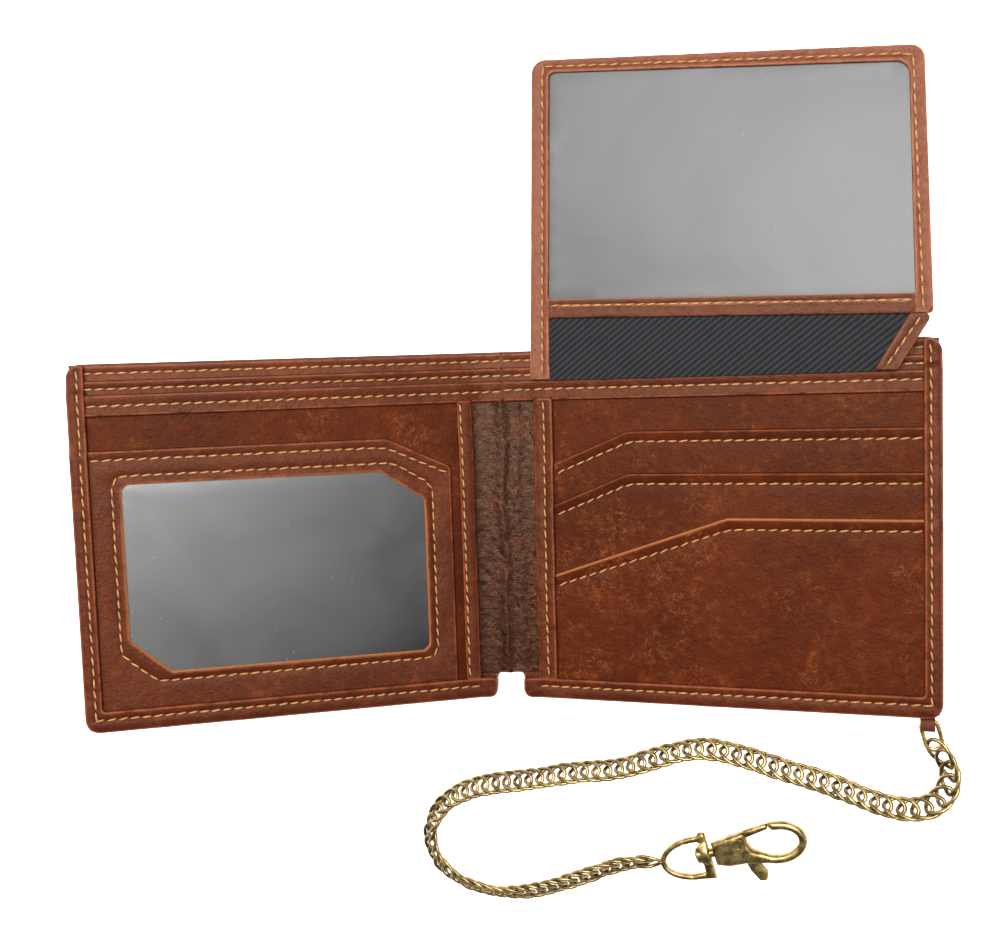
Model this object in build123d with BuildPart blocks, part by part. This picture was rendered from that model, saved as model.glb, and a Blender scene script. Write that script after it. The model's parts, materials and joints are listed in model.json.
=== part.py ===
"""Chain wallet: an open bifold wallet with an identity window flap, a curb chain and a swivel snap hook.

Millimetres, +Z up. X runs from the spine across the right half, Y up the wallet, and Z = 0 is the outer
face of the right half, which lies on the table. The spine strip and the left half stand up from it at
one fold angle each. Every sheet of leather is drawn on the plane of the half that it belongs to.
"""
from build123d import *
import math
import os

# ---- driving dimensions -------------------------------------------------------------------------
HALF_WIDTH = 105.0  # spine fold to the outer side of one half
HEIGHT = 95.0  # top to bottom of the cover
SPINE_WIDTH = 16.0  # between the two fold lines
FOLD_ANGLE = 15.0  # each fold, as the wallet lies open
SPINE_NOTCH = 6.0  # how much the spine is shorter than the halves at the bottom
CORNER = 4.0

COVER = 1.4  # sheet thicknesses
LINING = 0.4
DIVIDER = 0.7
PANEL = 0.7
SLOT = 0.7
POCKET = 0.7
BAND = 0.7
LIP = 0.7
FILM = 0.25
SPINE_COVER = 1.2
SPINE_INNER = 0.8
SPINE_STRIP = 0.5
BILL_GAP = 0.3  # room for notes between the lining and the divider

WALL = 0.8  # the binding's thickness round the edge
SIDE_LIP = 4.5  # the binding's width on the inside, down the outer side
BOTTOM_LIP = 5.8  # and along the bottom
SPINE_EDGE_LIP = 5.7  # width of the strips beside the spine
SPINE_GAP = 0.3  # spine sheets to fold line; the covers of the halves reach it
LAYER_GAP = 0.7  # inner layers to fold line
SPINE_END_GAP = 1.2  # strips on the spine to fold line

DIVIDER_DROP = 4.3  # top edges, down from the top of the cover
PANEL_DROP = 6.5
BAND_DROP = 7.9
BAND_WIDTH = 5.6

SLOT_DROPS = (22.0, 33.2)  # top edges of the two card slots, down from the top of the cover
POCKET_DROP = 45.0
SLOT_CUT = (25.0, 10.4)  # the slanted corner beside the spine: along the edge, and down
POCKET_CUT = (51.0, 17.4)

WINDOW_POCKET_DROP = 22.1
WINDOW_POCKET_GAP = 7.2  # from the fold line
WINDOW_CUT = (17.2, 8.2)
WINDOW_BORDER_TOP = 9.0  # leather round the window
WINDOW_BORDER_SIDE = 7.6
WINDOW_BORDER_BOTTOM = 8.8
WINDOW_CORNER_CUT = (11.8, 7.8)
WINDOW_FOOT_CUT = (10.2, 8.8)
WINDOW_FOOT = 3.0
FILM_MARGIN = 2.5

FLAP_WIDTH = 102.0
FLAP_LEFT = 84.2  # height of the flap at its left side
FLAP_RIGHT = 77.4
FLAP_TAPER = 1.9  # each side leans in
FLAP_DROOP = 2.6  # degrees
FLAP_START = 0.8  # left side of the flap from the fold line
FLAP_BORDER = 5.4  # left side
FLAP_BORDER_RIGHT = 4.2
FLAP_BORDER_TOP = 3.6
FLAP_CORNER = 3.0
FLAP_BACK = 0.5
FLAP_CLOTH = 0.4
FLAP_FRAME = 0.8
FLAP_LIFT = 0.9  # over the inner panel
HINGE_LIFT = 2.1  # flap hinge line over the flap's under face
HINGE_GAP = 0.6  # flap hinge line from the band
FLAP_GAP = 0.4  # cloth from the hinge line
CROSSBAR_LEFT = 15.9  # lower edge of the crossbar above the hinge line, left and right
CROSSBAR_RIGHT = 12.9
CROSSBAR_WIDTH = 4.9
STRAP_WIDTH = 5.4
STRAP_LEAN = 8.4

CHAIN_DIAMETER = 5.0
RING_RADIUS = 3.0  # centre line of the anchor ring
RING_WIRE = 1.2
RING_INSET = 3.6  # middle of the ring to the outer side of the right half
RING_X = HALF_WIDTH - RING_INSET
RING_GAP = 1.6  # ring to the edge of the cover
TAB_WIDTH = 3.4
TAB_LENGTH = 6.0
TAB_THICKNESS = 0.8
TAB_PLAY = 0.65  # round the ring's wire, which curves through the loop
CLEAR = 0.3  # between pieces of different bodies

CLASP_ANGLE = 16.0
CLASP_CENTRE = (45.8, -88.9)  # middle of the bail's crossbar
BAIL_LENGTH = 12.4  # crossbar to the far end of the loop, wire centres
BAIL_HALF = 5.4  # half the width between wire centres
BAIL_WIRE = 2.1
HUB_RADIUS = 2.3
HUB_LENGTH = 2.4
POST_RADIUS = 1.2
POST_HEAD_RADIUS = 2.2
POST_HEAD = 1.8
RUNNING_FIT = 0.08  # radial
COLLAR_RADIUS = 2.4
COLLAR_LENGTH = 2.6
HOOK_THICKNESS = 3.2
HOOK_CENTRE = (19.6, 0.6)  # middle of the hook's loop from the bail's crossbar
HOOK_OUTER = (8.0, 5.7)  # half axes
HOOK_BAR = 2.4
HOOK_BODY_WIDTH = 6.0
MOUTH = (12.6, 17.2)  # where the hook is open, from the bail's crossbar
PIVOT = (8.8, 0.9)
RIVET_RADIUS = 1.2
RIVET_BORE = 0.8
RIVET_HEAD = 1.75
RIVET_HEAD_HEIGHT = 0.35
GATE_THICKNESS = 1.2
GATE_RISE = 3.4
GATE_WIDTH = 1.7
GATE_EYE = 2.3
GATE_SLOT = 2.0
GATE_SLOT_START = 4.7  # from the bail's crossbar
ARM_ROOM = 1.6  # how far the slot reaches below the middle of the eye, for the gate's arm
THUMB_DROP = 8.6
THUMB_WIDTH = 4.2
SPRING_RADIUS = 1.9
SPRING_WIRE = 0.3

# The chain's route, chosen by hand, from the anchor ring to the bail.
CHAIN_ROUTE = [
    (103.3, -55.9), (106.1, -59.0), (106.9, -64.6), (104.4, -69.6), (99.6, -72.4), (92.1, -72.2),
    (84.2, -69.6), (75.2, -66.4), (65.4, -64.2), (54.6, -61.0), (43.6, -59.5), (32.4, -63.3), (21.6, -67.6), (9.4, -69.0),
    (-2.6, -72.0), (-14.8, -74.0), (-24.4, -77.2), (-31.4, -82.6), (-34.8, -90.4), (-32.6, -98.4),
    (-25.6, -103.8), (-16.0, -106.0), (-5.6, -105.2), (5.0, -101.6), (15.4, -96.8), (24.4, -93.2),
    (31.5, -92.5),
]

# ---- levels and planes --------------------------------------------------------------------------
TOP = HEIGHT / 2
BOTTOM = -HEIGHT / 2
SPINE_THICKNESS = SPINE_COVER + SPINE_INNER  # the fold lines lie on the spine's inner face
LINING_LEVEL = COVER
DIVIDER_LEVEL = LINING_LEVEL + LINING + BILL_GAP
PANEL_LEVEL = DIVIDER_LEVEL + DIVIDER
FACE_LEVEL = PANEL_LEVEL + PANEL  # what the slots, pockets and bands lie on
SLOT_LEVELS = (FACE_LEVEL, FACE_LEVEL + SLOT)
POCKET_LEVEL = FACE_LEVEL + 2 * SLOT
RIGHT_LIP_LEVEL = POCKET_LEVEL + POCKET
LEFT_POCKET_LEVEL = FACE_LEVEL + FILM
LEFT_LIP_LEVEL = LEFT_POCKET_LEVEL + POCKET
BAND_TOP = TOP - BAND_DROP
PANEL_TOP = TOP - PANEL_DROP
LAYER_START = LAYER_GAP + WALL  # inner layers stop at the strip beside the spine
LAYER_END = HALF_WIDTH - WALL
LAYER_BOTTOM = BOTTOM + WALL

RIGHT = Plane.XY


def folded_plane(fold, angle):
    """The outer face of a sheet whose inner face meets the fold line, turned up by the angle."""
    lean = math.radians(angle)
    across = Vector(math.cos(lean), 0, -math.sin(lean))
    normal = Vector(math.sin(lean), 0, math.cos(lean))
    return Plane(origin=fold - normal * SPINE_THICKNESS, x_dir=across, z_dir=normal)


right_fold = Vector(0, 0, SPINE_THICKNESS)
SPINE = folded_plane(right_fold, FOLD_ANGLE)
left_fold = right_fold - SPINE.x_dir * SPINE_WIDTH
LEFT = folded_plane(left_fold, 2 * FOLD_ANGLE)

flap_hinge_y = BAND_TOP + HINGE_GAP
flap_level = FACE_LEVEL + FLAP_LIFT
FLAP = Plane((0, flap_hinge_y, flap_level)).rotated((-FLAP_DROOP, 0, 0))
clasp_level = CHAIN_DIAMETER / 2
CLASP = Plane((*CLASP_CENTRE, clasp_level)).rotated((0, 0, CLASP_ANGLE))

os.makedirs("parts", exist_ok=True)


def save(piece, name):
    """Labels a finished piece and writes it to its own file."""
    piece.part.label = name
    export_step(piece.part, f"parts/{name}.step")


def sheet(name, plane, level, thickness, outline, corner=0.0, rounded=(), notch=None):
    """A flat sheet from its outline, with some of its corners rounded and a notch, if it has one."""
    with BuildPart() as piece:
        with BuildSketch(plane.offset(level)) as face:
            Polygon(*outline, align=None)
            for number in rounded:
                fillet(face.vertices().sort_by_distance(outline[number])[0], corner)
            if notch:
                Polygon(*notch, align=None, mode=Mode.SUBTRACT)
        extrude(amount=thickness)
    save(piece, name)


def mirrored(outline):
    """The same outline for the left half, which is drawn on the other side of its fold line."""
    return [(-x, y) for x, y in outline]


def block(x_low, y_low, x_high, y_high):
    """The corners of a rectangle."""
    return [(x_low, y_low), (x_high, y_low), (x_high, y_high), (x_low, y_high)]


# ---- what both halves have ------------------------------------------------------------------------
cover_outline = block(0, BOTTOM, HALF_WIDTH, TOP)
lining_outline = block(LAYER_START, LAYER_BOTTOM, LAYER_END, TOP - 1)
divider_outline = block(LAYER_START, LAYER_BOTTOM, LAYER_END, TOP - DIVIDER_DROP)
panel_outline = block(LAYER_START, LAYER_BOTTOM, LAYER_END, PANEL_TOP)
band_outline = block(LAYER_START, BAND_TOP - BAND_WIDTH, LAYER_END, BAND_TOP)
lip_outline = [
    (LAYER_GAP, BOTTOM),
    (HALF_WIDTH, BOTTOM),
    (HALF_WIDTH, BAND_TOP),
    (HALF_WIDTH - SIDE_LIP, BAND_TOP),
    (HALF_WIDTH - SIDE_LIP, BOTTOM + BOTTOM_LIP),
    (LAYER_GAP, BOTTOM + BOTTOM_LIP),
]
spine_lip_outline = block(
    LAYER_GAP, BOTTOM + BOTTOM_LIP, LAYER_GAP + SPINE_EDGE_LIP, BAND_TOP
)


def half(side, plane, turn, lip_level):
    """The cover, the inner sheets, the band and both bindings of one half."""
    sheet(f"{side}_cover", plane, 0, COVER, turn(cover_outline), CORNER, (0, 1, 2))
    inner = CORNER - WALL
    sheet(f"{side}_lining", plane, LINING_LEVEL, LINING, turn(lining_outline), inner, (1, 2))
    notch = tab_notch if side == "right" else None
    sheet(f"{side}_divider", plane, DIVIDER_LEVEL, DIVIDER, turn(divider_outline), inner, (1,), notch)
    sheet(f"{side}_inner_panel", plane, PANEL_LEVEL, PANEL, turn(panel_outline), inner, (1,))
    sheet(f"{side}_top_band", plane, FACE_LEVEL, BAND, turn(band_outline))
    with BuildPart() as binding:  # a wall round the outer side and bottom, with a lip over the sheets
        with BuildSketch(plane.offset(lip_level)) as lip:
            Polygon(*turn(lip_outline), align=None)
            fillet(lip.vertices().sort_by_distance(turn(lip_outline)[1])[0], CORNER)
            fillet(lip.vertices().sort_by_distance(turn(lip_outline)[0])[0], CORNER - LAYER_GAP)
            fillet(lip.vertices().sort_by_distance(turn(lip_outline)[4])[0], CORNER - WALL)
        extrude(amount=LIP)
        with BuildSketch(plane.offset(COVER)) as wall:
            Polygon(*turn(lip_outline), align=None)
            fillet(wall.vertices().sort_by_distance(turn(lip_outline)[1])[0], CORNER)
            fillet(wall.vertices().sort_by_distance(turn(lip_outline)[0])[0], CORNER - LAYER_GAP)
            Polygon(*turn(block(-CORNER, LAYER_BOTTOM, LAYER_END, TOP)), align=None, mode=Mode.SUBTRACT)
            corner_square = block(LAYER_END - CORNER, LAYER_BOTTOM, LAYER_END, LAYER_BOTTOM + CORNER)
            Polygon(*turn(corner_square), align=None)
            centre = turn([(HALF_WIDTH - CORNER, BOTTOM + CORNER)])[0]
            with Locations(centre):
                Circle(CORNER - WALL, mode=Mode.SUBTRACT)
            Polygon(*turn(block(LAYER_GAP, LAYER_BOTTOM, HALF_WIDTH - CORNER, TOP)), align=None,
                    mode=Mode.SUBTRACT)
            Polygon(*turn(block(LAYER_GAP, BOTTOM + CORNER, LAYER_END, TOP)), align=None,
                    mode=Mode.SUBTRACT)
        extrude(amount=lip_level - COVER)
        if side == "right":  # the chain tab comes out under the lip
            with BuildSketch(plane.offset(tab_level - CLEAR)):
                with Locations((RING_X, BOTTOM)):
                    Rectangle(TAB_WIDTH + 2 * CLEAR, 4 * WALL)
            extrude(amount=TAB_THICKNESS + 2 * CLEAR, mode=Mode.SUBTRACT)
    save(binding, f"{side}_edge_binding")
    with BuildPart() as strip:  # beside the spine: a lip, and a wall down to the cover
        with BuildSketch(plane.offset(lip_level)):
            Polygon(*turn(spine_lip_outline), align=None)
        extrude(amount=LIP)
        with BuildSketch(plane.offset(COVER)):
            Polygon(*turn(block(LAYER_GAP, BOTTOM + BOTTOM_LIP, LAYER_START, BAND_TOP)), align=None)
        extrude(amount=lip_level - COVER)
    save(strip, f"{side}_spine_edge_strip")


def straight(outline):
    """The outline as it is, for the right half."""
    return outline


tab_level = LINING_LEVEL + LINING
tab_half = TAB_WIDTH / 2 + CLEAR / 2
tab_notch = block(RING_X - tab_half, BOTTOM, RING_X + tab_half, LAYER_BOTTOM + TAB_LENGTH)
half("right", RIGHT, straight, RIGHT_LIP_LEVEL)
half("left", LEFT, mirrored, LEFT_LIP_LEVEL)


# ---- card slots and front pocket of the right half --------------------------------------------------
def slanted(drop, cut):
    """A pocket sheet whose upper corner beside the spine is cut on a slant."""
    along, down = cut
    edge = TOP - drop
    slope = down / along
    return [
        (LAYER_START, LAYER_BOTTOM),
        (LAYER_END, LAYER_BOTTOM),
        (LAYER_END, edge),
        (LAYER_START + along, edge),
        (LAYER_START, edge - slope * along),
    ]


slot_names = ("right_card_slot_upper", "right_card_slot_lower")
for slot_name, slot_drop, slot_level in zip(slot_names, SLOT_DROPS, SLOT_LEVELS):
    sheet(slot_name, RIGHT, slot_level, SLOT, slanted(slot_drop, SLOT_CUT), CORNER - WALL, (1,))
sheet("right_front_pocket", RIGHT, POCKET_LEVEL, POCKET, slanted(POCKET_DROP, POCKET_CUT), CORNER - WALL, (1,))

# ---- window pocket of the left half -----------------------------------------------------------------
window_edge = TOP - WINDOW_POCKET_DROP
cut_along, cut_down = WINDOW_CUT
window_pocket_outline = [
    (WINDOW_POCKET_GAP, LAYER_BOTTOM),
    (LAYER_END, LAYER_BOTTOM),
    (LAYER_END, window_edge),
    (WINDOW_POCKET_GAP + cut_along, window_edge),
    (WINDOW_POCKET_GAP, window_edge - cut_down),
]
window_left = HALF_WIDTH - SIDE_LIP - WINDOW_BORDER_SIDE
window_right = WINDOW_POCKET_GAP + WINDOW_BORDER_SIDE
window_top = window_edge - WINDOW_BORDER_TOP
window_bottom = BOTTOM + BOTTOM_LIP + WINDOW_BORDER_BOTTOM
window_outline = [
    (window_left, window_top),
    (window_right + WINDOW_CORNER_CUT[0], window_top),
    (window_right, window_top - WINDOW_CORNER_CUT[1]),
    (window_right, window_bottom + WINDOW_FOOT),
    (window_right + WINDOW_FOOT, window_bottom),
    (window_left - WINDOW_FOOT_CUT[0], window_bottom),
    (window_left, window_bottom + WINDOW_FOOT_CUT[1]),
]
with BuildPart() as left_window_pocket:
    with BuildSketch(LEFT.offset(LEFT_POCKET_LEVEL)) as window_face:
        Polygon(*mirrored(window_pocket_outline), align=None)
        outer_corner = mirrored([(LAYER_END, LAYER_BOTTOM)])[0]
        fillet(window_face.vertices().sort_by_distance(outer_corner)[0], CORNER - WALL)
        Polygon(*mirrored(window_outline), align=None, mode=Mode.SUBTRACT)
    extrude(amount=POCKET)
save(left_window_pocket, "left_window_pocket")
left_film_outline = block(
    window_right - FILM_MARGIN, window_bottom - FILM_MARGIN, window_left + FILM_MARGIN, window_top + FILM_MARGIN
)
sheet("left_window_film", LEFT, FACE_LEVEL, FILM, mirrored(left_film_outline), 1.0, (0, 1, 2, 3))

# ---- spine ------------------------------------------------------------------------------------------
spine_outline = block(SPINE_GAP, BOTTOM + SPINE_NOTCH, SPINE_WIDTH - SPINE_GAP, TOP)
sheet("spine_cover", SPINE, 0, SPINE_COVER, mirrored(spine_outline))
spine_inner_outline = block(SPINE_GAP, BOTTOM + SPINE_NOTCH, SPINE_WIDTH - SPINE_GAP, TOP - DIVIDER_DROP)
sheet("spine_inner_leather", SPINE, SPINE_COVER, SPINE_INNER, mirrored(spine_inner_outline))
spine_band_outline = block(SPINE_END_GAP, BAND_TOP - BAND_WIDTH, SPINE_WIDTH - SPINE_END_GAP, BAND_TOP)
sheet("spine_top_band", SPINE, SPINE_THICKNESS, SPINE_STRIP, mirrored(spine_band_outline))

# ---- flap -------------------------------------------------------------------------------------------
flap_end = FLAP_START + FLAP_WIDTH
back_level = 0
film_level = FLAP_BACK
frame_level = FLAP_BACK + FLAP_CLOTH


def bar_edge(x, rise=0.0):
    """A point on the crossbar's lower edge, or above it, which slopes from the left side to the right."""
    share = (x - FLAP_START) / FLAP_WIDTH
    return (x, CROSSBAR_LEFT + (CROSSBAR_RIGHT - CROSSBAR_LEFT) * share + rise)


def flap_side(x, share):
    """A point between the crossbar's lower edge and the top of the flap, by its share of that height."""
    low = bar_edge(x)[1]
    high = FLAP_LEFT + (FLAP_RIGHT - FLAP_LEFT) * (x - FLAP_START) / FLAP_WIDTH
    return (x, low + (high - low) * share)


flap_outline = [
    bar_edge(FLAP_START),
    bar_edge(flap_end),
    flap_side(flap_end - FLAP_TAPER, 1),
    flap_side(FLAP_START + FLAP_TAPER, 1),
]
flap_window_left = FLAP_START + FLAP_BORDER
flap_window_right = flap_end - FLAP_BORDER_RIGHT
flap_window_outline = [
    bar_edge(flap_window_left, CROSSBAR_WIDTH),
    bar_edge(flap_window_right, CROSSBAR_WIDTH),
    (flap_window_right, flap_side(flap_window_right, 1)[1] - FLAP_BORDER_TOP),
    (flap_window_left, flap_side(flap_window_left, 1)[1] - FLAP_BORDER_TOP),
]


def flap_ring(name, level, thickness):
    """A frame of leather round the flap's window."""
    with BuildPart() as piece:
        with BuildSketch(FLAP.offset(level)) as face:
            Polygon(*flap_outline, align=None)
            for corner_point in (flap_outline[2], flap_outline[3]):
                fillet(face.vertices().sort_by_distance(corner_point)[0], FLAP_CORNER)
            Polygon(*flap_window_outline, align=None, mode=Mode.SUBTRACT)
        extrude(amount=thickness)
        if level == frame_level:  # the left border runs on down to the hinge, and the crossbar is its own
            with BuildSketch(FLAP.offset(level)):
                Polygon(*block(FLAP_START, FLAP_GAP, flap_window_left, CROSSBAR_LEFT), align=None)
            extrude(amount=thickness)
            with BuildSketch(FLAP.offset(level)):
                Polygon(*crossbar_outline, align=None)
            extrude(amount=thickness, mode=Mode.SUBTRACT)
    save(piece, name)


crossbar_outline = [
    bar_edge(flap_window_left),
    bar_edge(flap_window_right),
    bar_edge(flap_window_right, CROSSBAR_WIDTH),
    bar_edge(flap_window_left, CROSSBAR_WIDTH),
]
flap_ring("flap_back_frame", back_level, FLAP_BACK)
flap_ring("flap_frame", frame_level, FLAP_FRAME)
sheet("flap_crossbar", FLAP, frame_level, FLAP_FRAME, crossbar_outline)
flap_film_outline = [
    bar_edge(flap_window_left - FILM_MARGIN, CROSSBAR_WIDTH - FILM_MARGIN),
    bar_edge(flap_window_right + FILM_MARGIN, CROSSBAR_WIDTH - FILM_MARGIN),
    (flap_window_right + FILM_MARGIN, flap_window_outline[2][1] + FILM_MARGIN / 2),
    (flap_window_left - FILM_MARGIN, flap_window_outline[3][1] + FILM_MARGIN / 2),
]
sheet("flap_window_film", FLAP, film_level, FILM, flap_film_outline)
strap_top = bar_edge(flap_end)
strap_foot = flap_end - STRAP_LEAN
cloth_outline = [
    (FLAP_START + FLAP_GAP, FLAP_GAP),
    (strap_foot - STRAP_WIDTH / 2, FLAP_GAP),
    bar_edge(flap_end - STRAP_WIDTH / 2),
    bar_edge(flap_end - STRAP_WIDTH / 2, CROSSBAR_WIDTH - FILM_MARGIN - FLAP_GAP),
    bar_edge(FLAP_START + FLAP_GAP, CROSSBAR_WIDTH - FILM_MARGIN - FLAP_GAP),
]
sheet("flap_hinge_cloth", FLAP, film_level, FLAP_CLOTH, cloth_outline)
strap_outline = [
    (strap_foot - STRAP_WIDTH, FLAP_GAP),
    (strap_foot, FLAP_GAP),
    bar_edge(flap_end),
    bar_edge(flap_end - STRAP_WIDTH),
]
sheet("flap_strap", FLAP, frame_level, FLAP_FRAME, strap_outline)


# ---- chain, its ring and its tab --------------------------------------------------------------------
ring_centre = (RING_X, BOTTOM - RING_GAP - RING_RADIUS - RING_WIRE / 2)
ring_plane = Plane((*ring_centre, clasp_level))
with BuildPart() as anchor_ring:
    with BuildSketch(Plane(ring_plane.origin, x_dir=(1, 0, 0), z_dir=(0, -1, 0))):
        with Locations((RING_RADIUS, 0)):
            Circle(RING_WIRE / 2)
    revolve(axis=Axis(ring_plane.origin, (0, 0, 1)))
save(anchor_ring, "anchor_ring")

tab_eye = (ring_centre[1] + RING_RADIUS, clasp_level)  # Y and Z of the ring's wire inside the loop
eye_radius = RING_WIRE / 2 + TAB_PLAY
loop_radius = eye_radius + TAB_THICKNESS
tail_end = LAYER_BOTTOM + TAB_LENGTH - CLEAR / 2
with BuildPart() as chain_tab:
    with BuildSketch(Plane.YZ.offset(RING_X - TAB_WIDTH / 2)):
        with Locations(tab_eye):
            Circle(loop_radius)
        Polygon(*block(tab_eye[0], tab_level, tail_end, tab_level + TAB_THICKNESS), align=None)
        with Locations(tab_eye):
            Circle(eye_radius, mode=Mode.SUBTRACT)
    extrude(amount=TAB_WIDTH)
save(chain_tab, "chain_tab")

runs = [Vector(*b) - Vector(*a) for a, b in zip(CHAIN_ROUTE, CHAIN_ROUTE[1:])]
chain_radii = []
for before, after in zip(runs, runs[1:]):
    half_turn = math.radians(before.get_angle(after) / 2)
    chain_radii.append(0.45 * min(before.length, after.length) / math.tan(half_turn))
print("chain arc radii", [round(radius, 1) for radius in chain_radii])
with BuildPart() as chain:
    with BuildLine(Plane.XY.offset(clasp_level)) as chain_path:
        FilletPolyline(*CHAIN_ROUTE, radius=chain_radii)
    with BuildSketch(Plane(origin=chain_path.line @ 0, z_dir=chain_path.line % 0)):
        Circle(CHAIN_DIAMETER / 2)
    sweep()
print("chain length", round(sum(edge.length for edge in chain_path.edges()), 1))
save(chain, "chain")

# ---- swivel snap hook -------------------------------------------------------------------------------
# On the clasp's plane, u runs along it from the bail's crossbar towards the hook, and v across it.
with BuildPart() as swivel_bail:
    with BuildLine(CLASP) as bail_path:
        side_low = Line((0, -BAIL_HALF), (-BAIL_LENGTH + BAIL_HALF, -BAIL_HALF))
        round_end = CenterArc((-BAIL_LENGTH + BAIL_HALF, 0), BAIL_HALF, 270, -180)
        side_high = Line((-BAIL_LENGTH + BAIL_HALF, BAIL_HALF), (0, BAIL_HALF))
    with BuildSketch(Plane(origin=bail_path.line @ 0, z_dir=bail_path.line % 0)):
        Circle(BAIL_WIRE / 2)
    sweep()
    bar_plane = Plane(CLASP.origin, x_dir=CLASP.x_dir, z_dir=CLASP.y_dir)
    with BuildSketch(bar_plane.offset(-BAIL_HALF - BAIL_WIRE / 2)):
        Circle(BAIL_WIRE / 2)
    extrude(amount=2 * BAIL_HALF + BAIL_WIRE)
    hub_plane = Plane(CLASP.origin, x_dir=CLASP.y_dir, z_dir=CLASP.x_dir)
    with BuildSketch(hub_plane.offset(-HUB_LENGTH / 2)):
        Circle(HUB_RADIUS)
    extrude(amount=HUB_LENGTH)
    with BuildSketch(hub_plane.offset(-HUB_LENGTH)):
        Circle(POST_RADIUS + RUNNING_FIT)
    extrude(amount=2 * HUB_LENGTH, mode=Mode.SUBTRACT)
save(swivel_bail, "swivel_bail")

collar_start = HUB_LENGTH / 2 + CLEAR
collar_end = collar_start + COLLAR_LENGTH
with BuildPart() as swivel_post:
    with BuildSketch(hub_plane.offset(-HUB_LENGTH / 2 - CLEAR)):
        Circle(POST_RADIUS)
    extrude(amount=HUB_LENGTH + 2 * CLEAR)
    with BuildSketch(hub_plane.offset(-HUB_LENGTH / 2 - CLEAR)):
        Circle(POST_HEAD_RADIUS)
    extrude(amount=-POST_HEAD)
    chamfer(swivel_post.faces().sort_by(Axis(CLASP.origin, CLASP.x_dir))[0].edges(), POST_HEAD / 4)
save(swivel_post, "swivel_post")


def clasp_plate(level, thickness):
    """A plane of the clasp and the height to extrude from it, for a plate centred on the level."""
    return CLASP.offset(level - thickness / 2), thickness


with BuildPart() as hook_body:
    low_plane, height = clasp_plate(0, HOOK_THICKNESS)
    with BuildSketch(low_plane):
        with Locations(HOOK_CENTRE):
            Ellipse(*HOOK_OUTER)
        with Locations(((collar_end + HOOK_CENTRE[0]) / 2, 0)):
            RectangleRounded(HOOK_CENTRE[0] - collar_end, HOOK_BODY_WIDTH, HOOK_BODY_WIDTH / 4)
        with Locations(HOOK_CENTRE):
            Ellipse(HOOK_OUTER[0] - HOOK_BAR, HOOK_OUTER[1] - HOOK_BAR, mode=Mode.SUBTRACT)
        mouth_outline = block(MOUTH[0], HOOK_CENTRE[1] + GATE_WIDTH / 2, MOUTH[1], HOOK_BODY_WIDTH * 2)
        Polygon(*mouth_outline, align=None, mode=Mode.SUBTRACT)
    extrude(amount=height)
    slot_plane, slot_height = clasp_plate(0, GATE_SLOT)
    with BuildSketch(slot_plane):
        slot_outline = block(GATE_SLOT_START, -HOOK_BODY_WIDTH * 2, MOUTH[0], HOOK_BODY_WIDTH * 2)
        Polygon(*slot_outline, align=None)
        arm_room = block(MOUTH[0], HOOK_CENTRE[1] - ARM_ROOM, HOOK_CENTRE[0], HOOK_BODY_WIDTH)
        Polygon(*arm_room, align=None)
    extrude(amount=slot_height, mode=Mode.SUBTRACT)
    with BuildSketch(hub_plane.offset(collar_start)):
        Circle(COLLAR_RADIUS)
    extrude(amount=COLLAR_LENGTH)
    with BuildSketch(low_plane):
        with Locations(PIVOT):
            Circle(RIVET_RADIUS)
    extrude(amount=height, mode=Mode.SUBTRACT)
save(hook_body, "hook_body")

with BuildPart() as gate_lever:
    gate_plane, gate_height = clasp_plate(0, GATE_THICKNESS)
    arm_reach = MOUTH[1] - CLEAR - GATE_WIDTH / 2 - PIVOT[0]
    arm_end = (PIVOT[0] + arm_reach, PIVOT[1] + GATE_RISE)
    arm_angle = math.degrees(math.atan2(GATE_RISE, arm_reach))
    arm_length = math.hypot(GATE_RISE, arm_reach)
    with BuildSketch(gate_plane):
        with Locations(PIVOT):
            Circle(GATE_EYE)
        with Locations(Location(((PIVOT[0] + arm_end[0]) / 2, (PIVOT[1] + arm_end[1]) / 2), arm_angle)):
            SlotOverall(arm_length + GATE_WIDTH, GATE_WIDTH)
        with Locations((PIVOT[0] + THUMB_WIDTH / 4, PIVOT[1] - THUMB_DROP / 2)):
            RectangleRounded(THUMB_WIDTH, THUMB_DROP, THUMB_WIDTH / 4)
        with Locations(PIVOT):
            Circle(RIVET_RADIUS + RUNNING_FIT, mode=Mode.SUBTRACT)
    extrude(amount=gate_height)
save(gate_lever, "gate_lever")

with BuildPart() as gate_rivet:
    with BuildSketch(low_plane):
        with Locations(PIVOT):
            Circle(RIVET_RADIUS)
    extrude(amount=HOOK_THICKNESS)
    for head_level in (HOOK_THICKNESS / 2, -HOOK_THICKNESS / 2 - RIVET_HEAD_HEIGHT):
        with BuildSketch(CLASP.offset(head_level)):
            with Locations(PIVOT):
                Circle(RIVET_HEAD)
        extrude(amount=RIVET_HEAD_HEIGHT)
    with BuildSketch(CLASP.offset(-HOOK_THICKNESS)):
        with Locations(PIVOT):
            Circle(RIVET_BORE)
    extrude(amount=2 * HOOK_THICKNESS, mode=Mode.SUBTRACT)
save(gate_rivet, "gate_rivet")

with BuildPart() as gate_spring:  # a flat coil round the rivet, between the gate and one cheek
    with BuildSketch(CLASP.offset(GATE_SLOT / 2 - SPRING_WIRE)):
        with Locations(PIVOT):
            Circle(SPRING_RADIUS)
            Circle(RIVET_RADIUS + RUNNING_FIT, mode=Mode.SUBTRACT)
    extrude(amount=SPRING_WIRE)
save(gate_spring, "gate_spring")
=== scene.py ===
"""Chain wallet: leather, thread, film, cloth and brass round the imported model.

Leather is drawn flat, in millimetres, and laid on the wallet: s runs from the spine fold across the
right half and, below zero, across the spine and the left half. y runs up the wallet, and w is the
height over the outer face. Each piece is written in metres, in the frame's own axes.
"""
import json
import math
import random

import bmesh
import bpy
import numpy as np
from mathutils import Matrix, Vector, noise
from mathutils.geometry import delaunay_2d_cdt


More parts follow.
